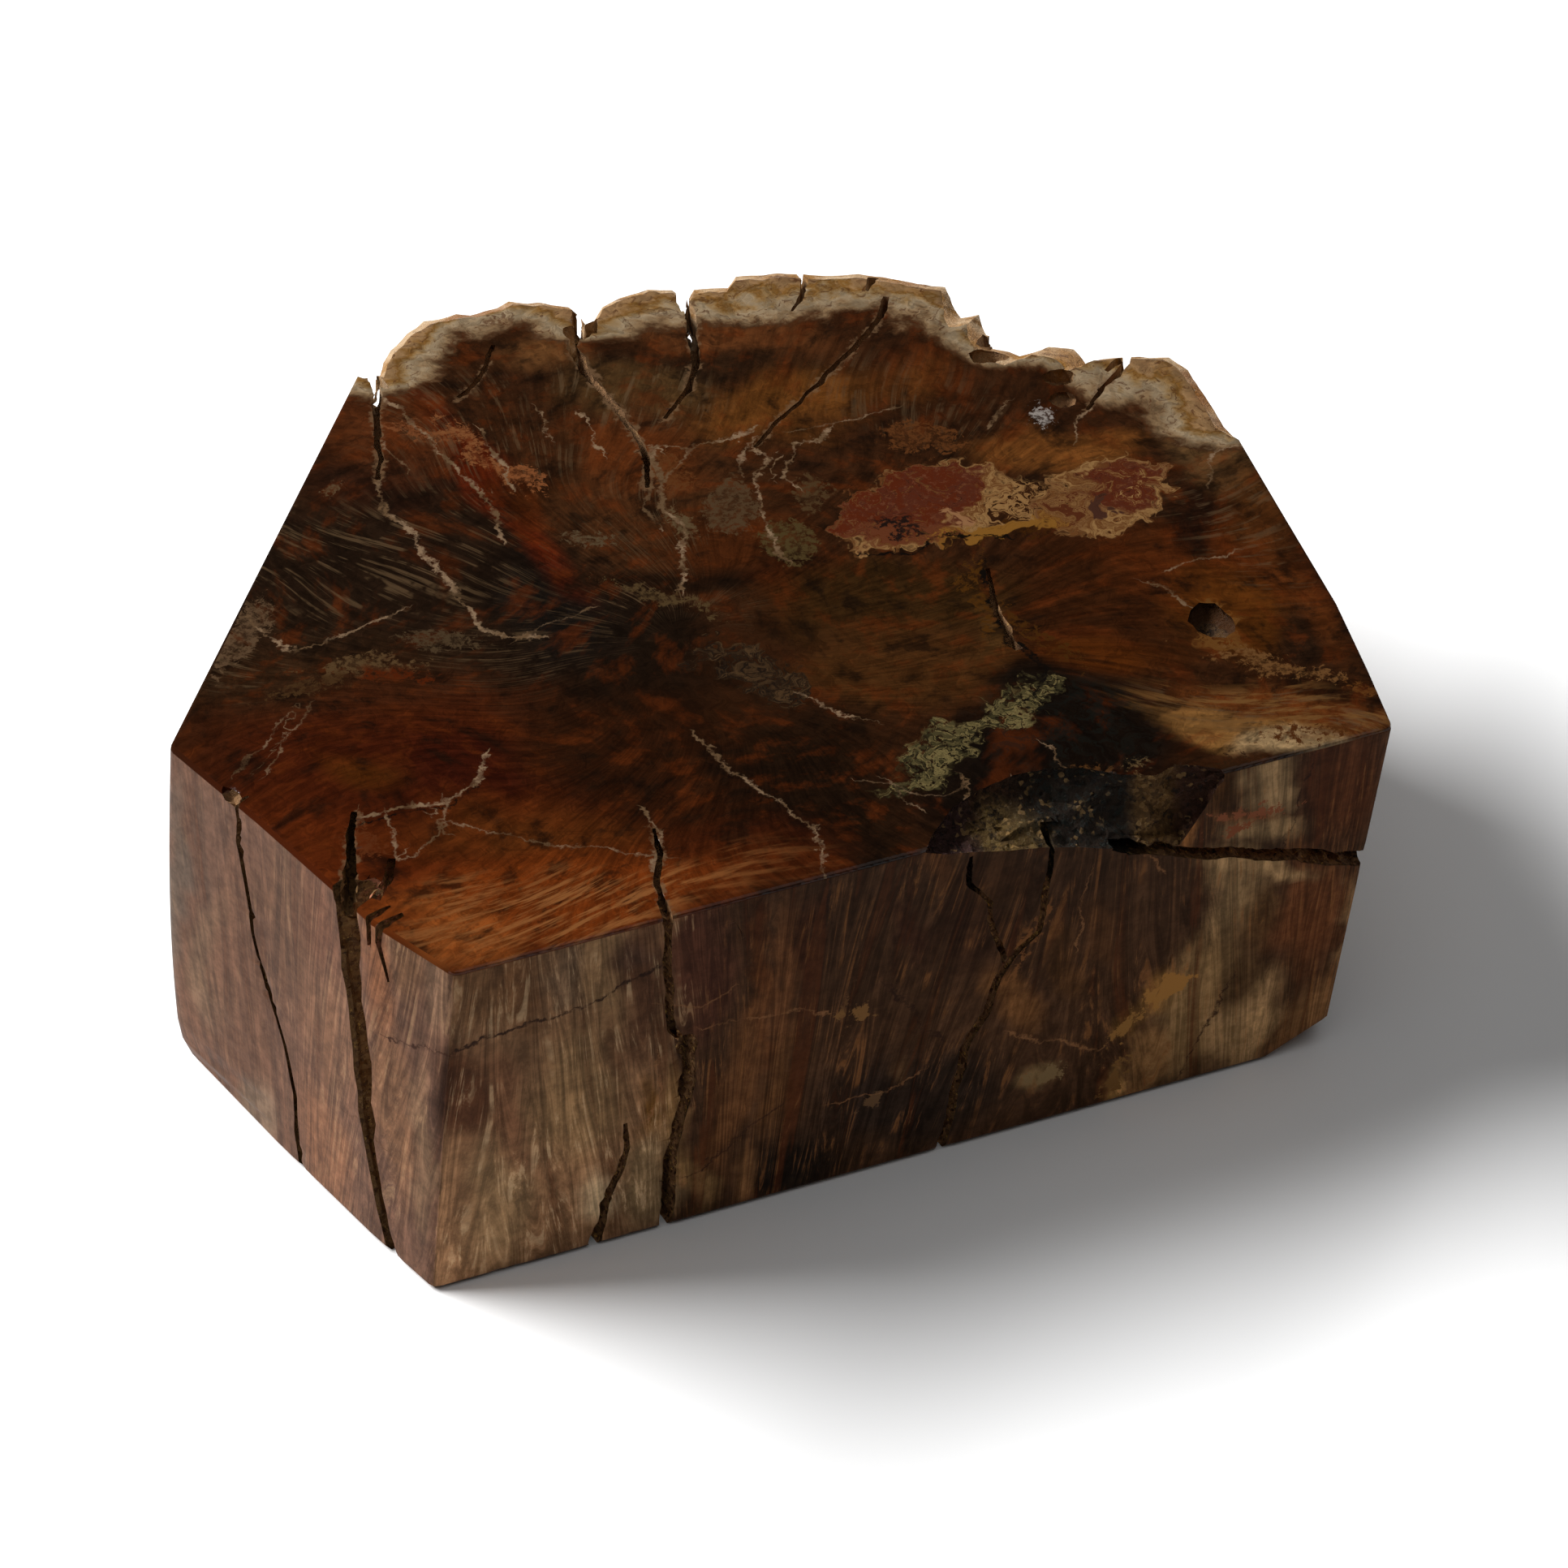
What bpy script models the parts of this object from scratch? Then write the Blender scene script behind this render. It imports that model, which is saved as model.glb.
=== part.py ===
"""A thick block of petrified wood, sawn on four sides and polished, with the bark left on at the back.

The block stands on its sawn underside. +X runs along the front polished face, +Y points to the bark,
and +Z points up out of the polished top. Sizes are written in millimetres and made metres in the mesh.
"""

import math

import bmesh
import bpy
from mathutils import Vector, noise

# Driving dimensions
MM = 0.001
HEIGHT = 83.0
ARRIS = 0.7             # worn edge round the polished top
FOOT_ARRIS = 1.0        # worn edge round the sawn underside
CORNER_RADIUS = 1.4     # worn upright edges between the sawn faces
FRONT_Y = -103.5        # plane of the front polished face
PITH = (-12.4, -36.0)   # centre of the trunk, which the radial cracks point to
TRUNK_RADIUS = 130.0
BARK_STEP = 3.6         # spacing of the columns round the bark
BARK_RELIEF = 6.0       # how far furrows and ledges reach into the bark
LIP_ROWS = 3            # rows that turn the top's edge over
WALL_ROWS = 14          # rows down the wall
WALL_STEP = 5.7
MIDDLE = (0.0, 0.6, 0.0)    # middle of the plan below, which is put on the origin
CRACK_STEP = 4.6        # spacing of a crack's bends
CRACK_WANDER = 0.9      # how far a crack strays from its path
MOUTH_FLARE = 1.15      # a crack's width just above the surface, and at its root, beside its stated width
ROOT_SHARE = 0.35
SHORTEST_EDGE = 0.01    # shorter edges that the cuts leave are merged
PROUD = 1.2             # how far a cutter stands out of the surface it cuts

# Sawn sides: each edge's place on the top and its place on the underside, counter-clockwise from above
FRONT_EDGES = (
    ((-87.7, FRONT_Y), (-95.6, -101.6)),
    ((105.5, FRONT_Y), (97.6, -102.9)),
)
RIGHT_EDGES = (
    ((109.3, -85.6), (103.6, -86.0)),
    ((113.4, -64.0), (110.0, -65.0)),
    ((117.9, -26.0), (116.0, -27.0)),
    ((120.4, -5.4), (118.8, -6.0)),
)
LEFT_EDGES = (
    ((-46.6, 86.4), (-47.6, 84.4)),
    ((-118.5, -21.0), (-119.1, -19.0)),
    ((-108.9, -48.4), (-112.2, -51.4)),
    ((-97.4, -84.4), (-102.4, -82.6)),
)
LEFT_BULGE = 2.0        # how far the left front face swells out between its two upright edges
CORNER_BELLY = 4.2      # how far the left corner swells out towards its foot
CORNER_FOOT = 8.0       # height below which that swelling rounds in again
WORN_FOOT = ((81.0, FRONT_Y, 0.0), (99.4, FRONT_Y, 8.8), (112.0, -78.0, 0.0))   # plane worn off a corner

# Bark, lump by lump from the right end to the first crack: the rim's plan, and how wide and how deep
# the rough lip between the polished top and the rim is
BARK_LUMPS = (
    {"lip": 3.6, "drop": 1.4, "rim": (
        (121.3, 1.6), (122.2, 12.8), (122.9, 23.2), (121.2, 29.4), (113.4, 32.8), (107.4, 34.8))},
    {"lip": 10.5, "drop": 3.2, "rim": (
        (105.9, 37.0), (106.0, 43.4), (100.2, 45.4), (92.8, 44.4), (91.8, 47.2), (89.4, 50.6),
        (91.0, 62.6), (87.0, 63.4))},
    {"lip": 4.2, "drop": 1.4, "rim": (
        (86.8, 73.2), (76.8, 81.0), (70.6, 85.4), (60.2, 89.0), (53.8, 92.4), (44.4, 94.4),
        (41.2, 91.4), (33.6, 92.8))},
    {"lip": 3.0, "drop": 1.2, "rim": (
        (31.0, 89.4), (29.2, 94.4), (24.4, 97.0), (17.2, 96.0), (12.0, 93.6), (8.6, 89.4))},
    {"lip": 5.6, "drop": 2.6, "rim": (
        (7.0, 90.4), (6.2, 99.0), (2.4, 100.2), (-1.8, 104.2), (-6.0, 105.2), (-12.2, 104.6),
        (-18.4, 105.2), (-26.2, 104.8))},
    {"lip": 3.2, "drop": 1.4, "rim": (
        (-31.6, 100.0), (-36.9, 95.1), (-39.9, 91.1), (-42.0, 86.4))},
)

# Cracks in the polished top: plan points from the rim or the front inwards, and the depth. Each crack's
# width is given where its path starts and where it ends
TOP_CRACKS = {
    "first_crack": {"width": (1.8, 0.6), "depth": 6.0, "path": (
        (-43.2, 89.0), (-44.5, 77.7), (-48.9, 65.2), (-51.4, 55.1), (-53.9, 48.3))},
    "second_crack": {"width": (2.4, 0.7), "depth": 6.0, "path": (
        (6.9, 93.0), (3.6, 84.6), (0.2, 79.5), (-0.1, 70.2), (1.1, 58.2), (1.8, 45.0), (1.0, 34.3),
        (-2.8, 24.9))},
    "third_crack": {"width": (2.4, 0.6), "depth": 7.0, "path": (
        (31.2, 97.0), (29.4, 87.4), (27.7, 77.7), (23.9, 65.7), (18.1, 54.8), (9.8, 46.7))},
    "fourth_crack": {"width": (1.3, 0.6), "depth": 5.0, "path": (
        (71.7, 72.2), (66.3, 64.0), (56.8, 56.0), (48.3, 49.3), (38.6, 41.7), (31.0, 36.6),
        (23.8, 29.9))},
    "right_bark_crack": {"width": (1.7, 0.6), "depth": 4.0, "path": (
        (112.6, 35.0), (109.2, 28.4), (101.9, 23.0), (94.8, 16.1))},
    "crest_crack": {"width": (1.6, 0.6), "depth": 4.0, "path": (
        (57.6, 91.0), (56.7, 85.2), (53.8, 79.4), (50.1, 75.0))},
    "left_lump_crack": {"width": (0.8, 1.0), "depth": 3.0, "path": (
        (-15.4, 86.4), (-19.2, 79.5), (-22.6, 74.9), (-28.8, 70.2))},
    "dark_crack": {"width": (0.7, 1.6), "depth": 2.6, "path": (
        (52.1, -27.2), (49.3, -37.8), (46.9, -51.1), (47.4, -54.1))},
    "front_crack_top": {"width": (0.5, 1.5), "depth": 3.0, "path": (
        (-39.5, -78.6), (-41.0, -85.6), (-44.4, -93.0), (-45.4, -105.0))},
    "wide_fissure_top": {"width": (1.0, 3.4), "depth": 7.0, "path": (
        (-90.4, -53.2), (-93.4, -59.4), (-95.7, -65.9), (-98.4, -73.0), (-102.0, -79.0))},
    "flake_top": {"width": (1.4, 2.0), "depth": 4.0, "path": (
        (-88.4, -68.6), (-90.6, -73.6), (-94.6, -78.2))},
}

# Cracks in the front face: (x, z) points from the top down
FRONT_CRACKS = {
    "front_crack": {"width": (1.5, 1.5), "depth": 4.5, "path": (
        (-45.2, 84.6), (-45.6, 80.8), (-46.2, 73.0), (-45.9, 60.5), (-45.2, 53.9), (-42.6, 49.3))},
    "front_crack_foot": {"width": (2.4, 3.0), "depth": 6.0, "path": (
        (-41.4, 50.6), (-42.1, 42.2), (-43.1, 33.9), (-44.9, 25.8), (-46.3, 15.2), (-47.6, -2.0))},
    "foot_crack": {"width": (0.9, 2.6), "depth": 5.0, "path": (
        (-55.6, 31.9), (-55.0, 25.1), (-56.8, 19.1), (-59.5, 11.1), (-62.6, -2.0))},
    "forked_crack": {"width": (0.8, 2.2), "depth": 5.0, "path": (
        (33.0, 78.6), (32.0, 65.8), (30.8, 53.5), (24.1, 47.2), (20.1, 35.6), (16.8, 30.2),
        (15.3, 21.9), (13.8, 11.2), (11.2, -2.0))},
    "fork": {"width": (0.7, 1.3), "depth": 3.0, "path": (
        (15.6, 78.0), (15.6, 71.1), (20.0, 64.5), (21.2, 56.7), (24.0, 48.0))},
    "level_fissure": {"width": (1.6, 3.4), "depth": 9.0, "path": (
        (46.0, 70.4), (58.0, 65.7), (72.4, 60.7), (87.1, 55.4), (94.6, 51.9), (108.0, 47.4))},
}

# Cracks in the left front face: distance along the face from its front edge, and height
LEFT_CRACKS = {
    "wide_fissure": {"width": (7.2, 2.6), "depth": 7.0, "path": (
        (29.8, 86.0), (28.9, 80.8), (28.6, 72.9), (27.5, 65.3), (25.9, 56.0), (24.2, 46.6),
        (23.2, 36.5), (21.7, 26.8), (19.3, 17.5), (17.2, 10.1), (12.4, -2.0))},
    "flake_crack": {"width": (1.8, 0.8), "depth": 4.0, "path": (
        (19.4, 85.0), (19.3, 78.8), (18.0, 74.6), (16.8, 70.6))},
    "pocket_crack": {"width": (1.6, 1.2), "depth": 4.0, "path": (
        (23.0, 85.0), (22.2, 80.8), (21.6, 76.4))},
    "thin_crack": {"width": (1.4, 1.4), "depth": 3.5, "path": (
        (65.9, 84.3), (65.3, 73.3), (63.1, 64.3), (61.1, 53.0), (57.4, 42.7), (52.0, 33.5),
        (49.3, 26.6), (47.5, 19.0), (46.2, 4.1), (45.6, -2.0))},
}

# Upright cracks down the bark below the rim's notches: plan place and width
BARK_CRACK_DEPTH = 4.5
BARK_CRACK_SETBACK = 1.5
BARK_CRACK_DRIFT = 3.0
BARK_CRACKS = (
    ((-43.0, 85.6), 2.0),
    ((7.4, 89.0), 3.2),
    ((30.0, 89.6), 2.6),
    ((73.0, 81.0), 1.8),
    ((89.0, 52.0), 3.0),
    ((110.5, 32.0), 1.8),
)

# Broken chip on the front top edge: x, how far back it reaches on the top, how far down on the front
CHIP = (
    (6.4, 0.6, 1.0), (10.5, 5.0, 2.6), (16.0, 9.5, 3.8), (23.0, 12.5, 5.6), (30.0, 14.0, 7.2),
    (37.0, 13.5, 9.6), (43.5, 11.0, 11.8), (50.0, 6.5, 14.0), (55.5, 3.6, 15.8), (60.5, 5.4, 16.4),
    (65.0, 3.6, 9.0), (68.6, 0.8, 1.4),
)
CHIP_HOLLOW = 2.0       # how far the chip's floor is hollowed past the straight line across it
CHIP_ROUGHNESS = 3.0

# Pits: centre and half sizes
PITS = {
    "sparkling_hole": ((87.5, -60.0, HEIGHT), (4.4, 5.6, 3.2)),
    "fissure_mouth": ((-98.8, -75.4, HEIGHT + 1.0), (4.6, 4.4, 7.6)),
    "eroded_bark_left": ((83.0, 43.4, HEIGHT - 2.0), (4.8, 3.4, 5.0)),
    "eroded_bark_middle": ((94.0, 29.6, HEIGHT - 1.0), (3.6, 3.2, 4.6)),
    "eroded_bark_right": ((91.6, 21.6, HEIGHT), (2.8, 2.8, 3.6)),
    "second_crack_mouth": ((3.4, 84.4, HEIGHT - 0.5), (3.4, 3.0, 4.2)),
    "edge_chip": ((-112.0, -40.4, HEIGHT), (2.2, 3.4, 1.8)),
    "front_crack_pocket": ((-42.2, FRONT_Y, 48.6), (2.4, 2.6, 2.8)),
}


def ragged(x, y, z, scale=1.0):
    """A smooth irregular value between about -1 and 1 at a place in the stone."""
    return noise.noise(Vector((x, y, z)) * scale)


def densified(path, step):
    """The path's points with extra ones between them, no more than a step apart."""
    points = []
    for start, end in zip(path, path[1:]):
        a, b = Vector(start), Vector(end)
        pieces = max(1, round((b - a).length / step))
        points += [a.lerp(b, i / pieces) for i in range(pieces)]
    return points + [Vector(path[-1])]


def rounded_corner(before, corner, after):
    """Three points that turn an upright corner with a small radius."""
    here = Vector(corner)
    back = (Vector(before) - here).normalized()
    ahead = (Vector(after) - here).normalized()
    start, end = here + back * CORNER_RADIUS, here + ahead * CORNER_RADIUS
    middle = (start + end) * 0.25 + here * 0.5
    return [start, middle, end]


def sawn_side(level):
    """Plan of the sawn edges at a level from 0 on the underside to 1 on the top, with sharp corners."""
    belly = CORNER_BELLY * math.sin(0.5 * math.pi * min(1.0, 1.2 * (1.0 - level)))
    belly *= 0.25 + 0.75 * math.sqrt(min(1.0, level * HEIGHT / CORNER_FOOT))
    plan = []
    for top, foot in FRONT_EDGES + RIGHT_EDGES + LEFT_EDGES:
        plan.append(Vector(foot).lerp(Vector(top), level))
    left_corner = len(FRONT_EDGES + RIGHT_EDGES) + 1
    plan[left_corner].x -= belly
    return plan


def sawn_columns(level, inset):
    """Plan points of the sawn sides at a level: first those before the bark, then those after it."""
    plan = sawn_side(level)
    sharp = {0, 1, len(FRONT_EDGES + RIGHT_EDGES) + 1}
    columns = []
    for i, corner in enumerate(plan):
        before, after = plan[i - 1], plan[(i + 1) % len(plan)]
        normal_in = Vector((-(corner - before).y, (corner - before).x)).normalized()
        normal_out = Vector((-(after - corner).y, (after - corner).x)).normalized()
        inward = (normal_in + normal_out).normalized()
        shift = inward * inset / max(0.5, inward.dot(normal_in))
        group = rounded_corner(before, corner, after) if i in sharp else [corner]
        columns.append([point + shift for point in group])
    split = len(FRONT_EDGES + RIGHT_EDGES)
    ahead = [p for group in columns[:split] for p in group]
    behind = [p for group in columns[split:] for p in group]
    return ahead, behind


def bark_columns():
    """Rim points round the bark, each with its lip's width and drop."""
    outline = []
    for lump in BARK_LUMPS:
        outline += [(Vector(p), lump["lip"], lump["drop"]) for p in lump["rim"]]
    columns = []
    for (a, lip_a, drop_a), (b, lip_b, drop_b) in zip(outline, outline[1:]):
        pieces = max(1, round((b - a).length / BARK_STEP))
        for i in range(pieces):
            share = i / pieces
            lip = lip_a + (lip_b - lip_a) * share
            drop = drop_a + (drop_b - drop_a) * share
            columns.append((a.lerp(b, share), lip, drop))
    return columns + [outline[-1]]


def bark_wall(rim, height):
    """Where a bark column stands at a height below the rim: furrows along the grain, and level ledges."""
    inward = (Vector(PITH) - rim).normalized()
    along = math.atan2(rim.y - PITH[1], rim.x - PITH[0]) * TRUNK_RADIUS
    furrow = 1.0 - 2.2 * abs(ragged(along, 9.0, height * 0.22, 0.085))
    lump = ragged(along * 0.8, 0.0, height, 0.13)
    ledge = ragged(along * 0.25, 40.0, height, 0.12)
    depth = 0.35 - 0.35 * furrow + 0.75 * lump + 0.6 * ledge
    below = min(1.0, (HEIGHT - height) / 9.0)
    return rim + inward * BARK_RELIEF * below * max(0.0, depth)


def ring(index, levels):
    """One closed ring of the block's outside, from the polished top's edge down to the underside."""
    if index < LIP_ROWS:
        turn = index / (LIP_ROWS - 1)
        height = HEIGHT - ARRIS * turn ** 1.8
        inset = ARRIS * (1.0 - turn) ** 1.8
    else:
        height = levels[index - LIP_ROWS]
        inset = FOOT_ARRIS if height == 0.0 else 0.0
    ahead, behind = sawn_columns(height / HEIGHT, inset)
    points = [Vector((p.x, p.y, height)) for p in ahead]
    for rim, lip, drop in bark_columns():
        inward = (Vector(PITH) - rim).normalized()
        rough = 0.5 + 0.5 * ragged(rim.x, rim.y, 3.0, 0.22)
        if index < LIP_ROWS:
            share = index / LIP_ROWS
            reach = lip * (0.75 + 0.5 * rough) * (1.0 - share) ** 1.3
            sunk = drop * share * (0.6 + 0.9 * rough)
            place = rim + inward * reach
            points.append(Vector((place.x, place.y, HEIGHT - sunk)))
        else:
            place = bark_wall(rim, height) + inward * inset
            sunk = drop * 1.3 if index == LIP_ROWS else 0.0
            points.append(Vector((place.x, place.y, height - sunk)))
    return points + [Vector((p.x, p.y, height)) for p in behind]


def loft(rings):
    """A closed mesh skinned over rings of equal count, with flat caps on the first and the last."""
    mesh = bmesh.new()
    rows = [[mesh.verts.new(point * MM) for point in points] for points in rings]
    for near, far in zip(rows, rows[1:]):
        for i in range(len(near)):
            j = (i + 1) % len(near)
            mesh.faces.new((near[i], far[i], far[j], near[j]))
    mesh.faces.new(rows[0])
    mesh.faces.new(reversed(rows[-1]))
    bmesh.ops.triangulate(mesh, faces=[f for f in mesh.faces if len(f.verts) == 4])
    bmesh.ops.recalc_face_normals(mesh, faces=mesh.faces)
    return mesh


def block_mesh():
    """The whole block before it cracked: the lip's rows, then the wall's levels down to the underside."""
    levels = [HEIGHT - 3.6 - step * WALL_STEP for step in range(WALL_ROWS)]
    levels += [FOOT_ARRIS * 1.2, 0.0]
    mesh = loft([ring(index, levels) for index in range(LIP_ROWS + len(levels))])
    wear_foot(mesh)
    return mesh


def wear_foot(mesh):
    """Takes the worn plane off the foot of the right front corner."""
    corner = [Vector(p) * MM for p in WORN_FOOT]
    normal = (corner[1] - corner[0]).cross(corner[2] - corner[0]).normalized()
    if normal.z > 0.0:
        normal.negate()
    whole = mesh.verts[:] + mesh.edges[:] + mesh.faces[:]
    cut = bmesh.ops.bisect_plane(mesh, geom=whole, plane_co=corner[0], plane_no=normal, clear_outer=True)
    edges = [e for e in cut["geom_cut"] if isinstance(e, bmesh.types.BMEdge)]
    bmesh.ops.contextual_create(mesh, geom=edges)


def make_object(name, mesh, collection):
    bmesh.ops.translate(mesh, verts=mesh.verts, vec=-Vector(MIDDLE) * MM)
    data = bpy.data.meshes.new(name)
    mesh.to_mesh(data)
    mesh.free()
    thing = bpy.data.objects.new(name, data)
    collection.objects.link(thing)
    return thing


def hide_cutter(cutter):
    cutter.hide_render = True
    cutter.display_type = 'WIRE'


def crack_cutter(name, points, outward, width, depth, collection):
    """A ragged wedge along a crack, wide at the surface and narrow at its root."""
    line = densified([tuple(p) for p in points], CRACK_STEP)
    rings = []
    for i, point in enumerate(line):
        ahead = (line[min(i + 1, len(line) - 1)] - line[max(i - 1, 0)]).normalized()
        across = ahead.cross(outward).normalized()
        wander = CRACK_WANDER * ragged(point.x, point.y, point.z, 0.45)
        swell = 1.0 + 0.45 * ragged(point.y, point.z, point.x, 0.3)
        middle = point + across * wander
        share = i / (len(line) - 1)
        half = 0.5 * (width[0] + (width[1] - width[0]) * share) * swell
        root = middle - outward * depth * (0.8 + 0.3 * swell)
        mouth = middle + outward * PROUD
        rings.append((
            mouth - across * half * MOUTH_FLARE,
            mouth + across * half * MOUTH_FLARE,
            root + across * half * ROOT_SHARE,
            root - across * half * ROOT_SHARE,
        ))
    hide_cutter(make_object(name, loft(rings), collection))


def top_cracks(collection):
    for name, crack in TOP_CRACKS.items():
        points = [Vector((x, y, HEIGHT)) for x, y in crack["path"]]
        crack_cutter(name, points, Vector((0, 0, 1)), crack["width"], crack["depth"], collection)


def front_cracks(collection):
    for name, crack in FRONT_CRACKS.items():
        points = [Vector((x, FRONT_Y, z)) for x, z in crack["path"]]
        crack_cutter(name, points, Vector((0, -1, 0)), crack["width"], crack["depth"], collection)


def left_cracks(collection):
    """Cracks down the left front face, which leans out a little towards its foot."""
    top_front, foot_front = (Vector(p) for p in FRONT_EDGES[0])
    top_left, foot_left = (Vector(p) for p in LEFT_EDGES[1])
    for name, crack in LEFT_CRACKS.items():
        points = []
        for along, height in crack["path"]:
            share = along / (top_left - top_front).length
            upper = top_front.lerp(top_left, share)
            lower = foot_front.lerp(foot_left, share)
            plan = lower.lerp(upper, height / HEIGHT)
            side = Vector((-(upper - top_front).y, (upper - top_front).x)).normalized()
            plan += side * LEFT_BULGE * math.sin(math.pi * share)
            points.append(Vector((plan.x, plan.y, height)))
        outward = Vector((-(top_left - top_front).y, (top_left - top_front).x, 0)).normalized()
        crack_cutter(name, points, outward, crack["width"], crack["depth"], collection)


def bark_cracks(collection):
    """Upright cracks in the bark wall, below the notches in its rim."""
    for number, ((x, y), width) in enumerate(BARK_CRACKS, 1):
        outward = Vector((x - PITH[0], y - PITH[1], 0)).normalized()
        start = Vector((x, y, 0)) - outward * BARK_CRACK_SETBACK
        sideways = Vector((-outward.y, outward.x, 0))
        points = []
        for height in range(-3, 90, 11):
            drift = BARK_CRACK_DRIFT * ragged(x, height * 0.05, 5.0)
            points.append(Vector((start.x, start.y, height)) + sideways * drift)
        crack_cutter(f"bark_crack_{number}", points, outward, (width, width), BARK_CRACK_DEPTH, collection)


def chip_cutter(collection):
    """The broken wedge at the front top edge, with a rough floor."""
    rings = []
    for x, back, down in CHIP:
        corners = [Vector((x, FRONT_Y - PROUD, HEIGHT + PROUD)), Vector((x, FRONT_Y + back, HEIGHT + PROUD))]
        for share in (0.0, 0.22, 0.42, 0.62, 0.82, 1.0):
            y = FRONT_Y + back * (1.0 - share)
            z = HEIGHT - down * share
            hollow = math.sin(math.pi * share)
            rough = CHIP_ROUGHNESS * ragged(x, y, z, 0.31)
            room = min(1.0, (back + down) / 9.0)
            y += hollow * (CHIP_HOLLOW + rough) * room
            z -= hollow * (CHIP_HOLLOW + rough) * room * 0.6
            corners.append(Vector((x + ragged(z, x, y, 0.4) * 1.4, y, z)))
        corners.append(Vector((x, FRONT_Y - PROUD, HEIGHT - down)))
        rings.append(corners)
    hide_cutter(make_object("chip", loft(rings), collection))


def pit_cutters(collection):
    for number, (name, (centre, half)) in enumerate(PITS.items()):
        mesh = bmesh.new()
        bmesh.ops.create_icosphere(mesh, subdivisions=2, radius=1.0)
        for vertex in mesh.verts:
            place = vertex.co
            swell = 1.0 + 0.3 * ragged(place.x + number * 3.0, place.y, place.z, 1.3)
            spot = Vector((place.x * half[0], place.y * half[1], place.z * half[2])) * swell
            vertex.co = (Vector(centre) + spot) * MM
        hide_cutter(make_object(name, mesh, collection))


def polished_stone():
    """Dark brown polished stone."""
    material = bpy.data.materials.new("polished_stone")
    material.use_nodes = True
    shader = material.node_tree.nodes["Principled BSDF"]
    shader.inputs["Base Color"].default_value = (0.115, 0.052, 0.028, 1.0)
    shader.inputs["Roughness"].default_value = 0.22
    shader.inputs["Metallic"].default_value = 0.0
    return material


def new_collection(name):
    collection = bpy.data.collections.new(name)
    bpy.context.scene.collection.children.link(collection)
    return collection


def without_crumbs(block):
    """Cuts the block for good, and takes away the crumbs that crossing cracks leave loose."""
    evaluated = block.evaluated_get(bpy.context.evaluated_depsgraph_get())
    mesh = bmesh.new()
    mesh.from_mesh(evaluated.to_mesh())
    left = set(mesh.verts)
    pieces = []
    while left:
        front = [left.pop()]
        piece = set(front)
        while front:
            here = front.pop()
            near = {edge.other_vert(here) for edge in here.link_edges} - piece
            piece |= near
            front += near
        left -= piece
        pieces.append(piece)
    pieces.sort(key=len)
    for crumb in pieces[:-1]:
        bmesh.ops.delete(mesh, geom=list(crumb), context='VERTS')
    bmesh.ops.remove_doubles(mesh, verts=mesh.verts, dist=SHORTEST_EDGE * MM)
    block.modifiers.clear()
    mesh.to_mesh(block.data)
    mesh.free()


def build():
    for thing in list(bpy.data.objects):
        bpy.data.objects.remove(thing, do_unlink=True)
    parts = new_collection("petrified_wood")
    cutters = new_collection("cutters")
    block = make_object("petrified_wood_slice", block_mesh(), parts)
    block.data.materials.append(polished_stone())
    chip_cutter(cutters)
    pit_cutters(cutters)
    top_cracks(cutters)
    front_cracks(cutters)
    left_cracks(cutters)
    bark_cracks(cutters)
    for cutter in cutters.objects:
        cut = block.modifiers.new(cutter.name, 'BOOLEAN')
        cut.operation = 'DIFFERENCE'
        cut.solver = 'EXACT'
        cut.object = cutter
    without_crumbs(block)


build()
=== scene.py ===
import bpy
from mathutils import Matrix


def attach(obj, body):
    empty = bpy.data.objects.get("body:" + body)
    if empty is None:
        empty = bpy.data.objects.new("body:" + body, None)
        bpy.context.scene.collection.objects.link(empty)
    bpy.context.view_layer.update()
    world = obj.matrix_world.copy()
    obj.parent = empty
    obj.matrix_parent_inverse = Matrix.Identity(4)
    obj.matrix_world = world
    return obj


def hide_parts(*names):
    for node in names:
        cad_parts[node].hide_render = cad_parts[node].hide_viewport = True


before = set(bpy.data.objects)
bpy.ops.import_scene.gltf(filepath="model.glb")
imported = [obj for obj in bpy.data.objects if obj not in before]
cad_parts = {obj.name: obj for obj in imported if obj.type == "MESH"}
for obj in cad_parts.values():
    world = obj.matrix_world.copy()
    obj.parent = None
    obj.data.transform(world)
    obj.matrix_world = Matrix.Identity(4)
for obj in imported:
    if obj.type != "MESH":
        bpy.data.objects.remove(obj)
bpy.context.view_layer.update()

import math

import bmesh
import bpy
import numpy as np
from mathutils import Vector, noise

# Looks of a thick polished block of petrified wood. Places are written in millimetres, x along the
# front face, y towards the bark and z up, in the plan that the outline was drawn in.
mm = 0.001
planShift = 0.6          # the plan's middle lies this far behind the origin
height = 83.0
frontY = -103.5
leftOfFront = -88.2      # where the left side begins, along the front face
pith = (-12.4, -36.0)

print("camera")
view = {
    "target": (0.0051, -0.0342, 0.045),
    "azimuth": -21.7,
    "elevation": 40.0,
    "distance": 0.902,
    "lens": 100.62,
    "sensor": 36.0,
}
tilt = math.radians(view["elevation"])
turn = math.radians(view["azimuth"])
ahead = Vector((-math.sin(turn) * math.cos(tilt), math.cos(turn) * math.cos(tilt), -math.sin(tilt)))
bpy.ops.object.select_all(action='DESELECT')
bpy.ops.object.camera_add(
    location=Vector(view["target"]) - ahead * view["distance"],
    rotation=(math.pi / 2 - tilt, 0, turn))
camera = bpy.context.object
camera.name = "photoCamera"
camera.data.lens = view["lens"]
camera.data.sensor_width = view["sensor"]
camera.data.clip_start = 0.01
camera.data.dof.use_dof = False
bpy.context.scene.camera = camera

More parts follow.
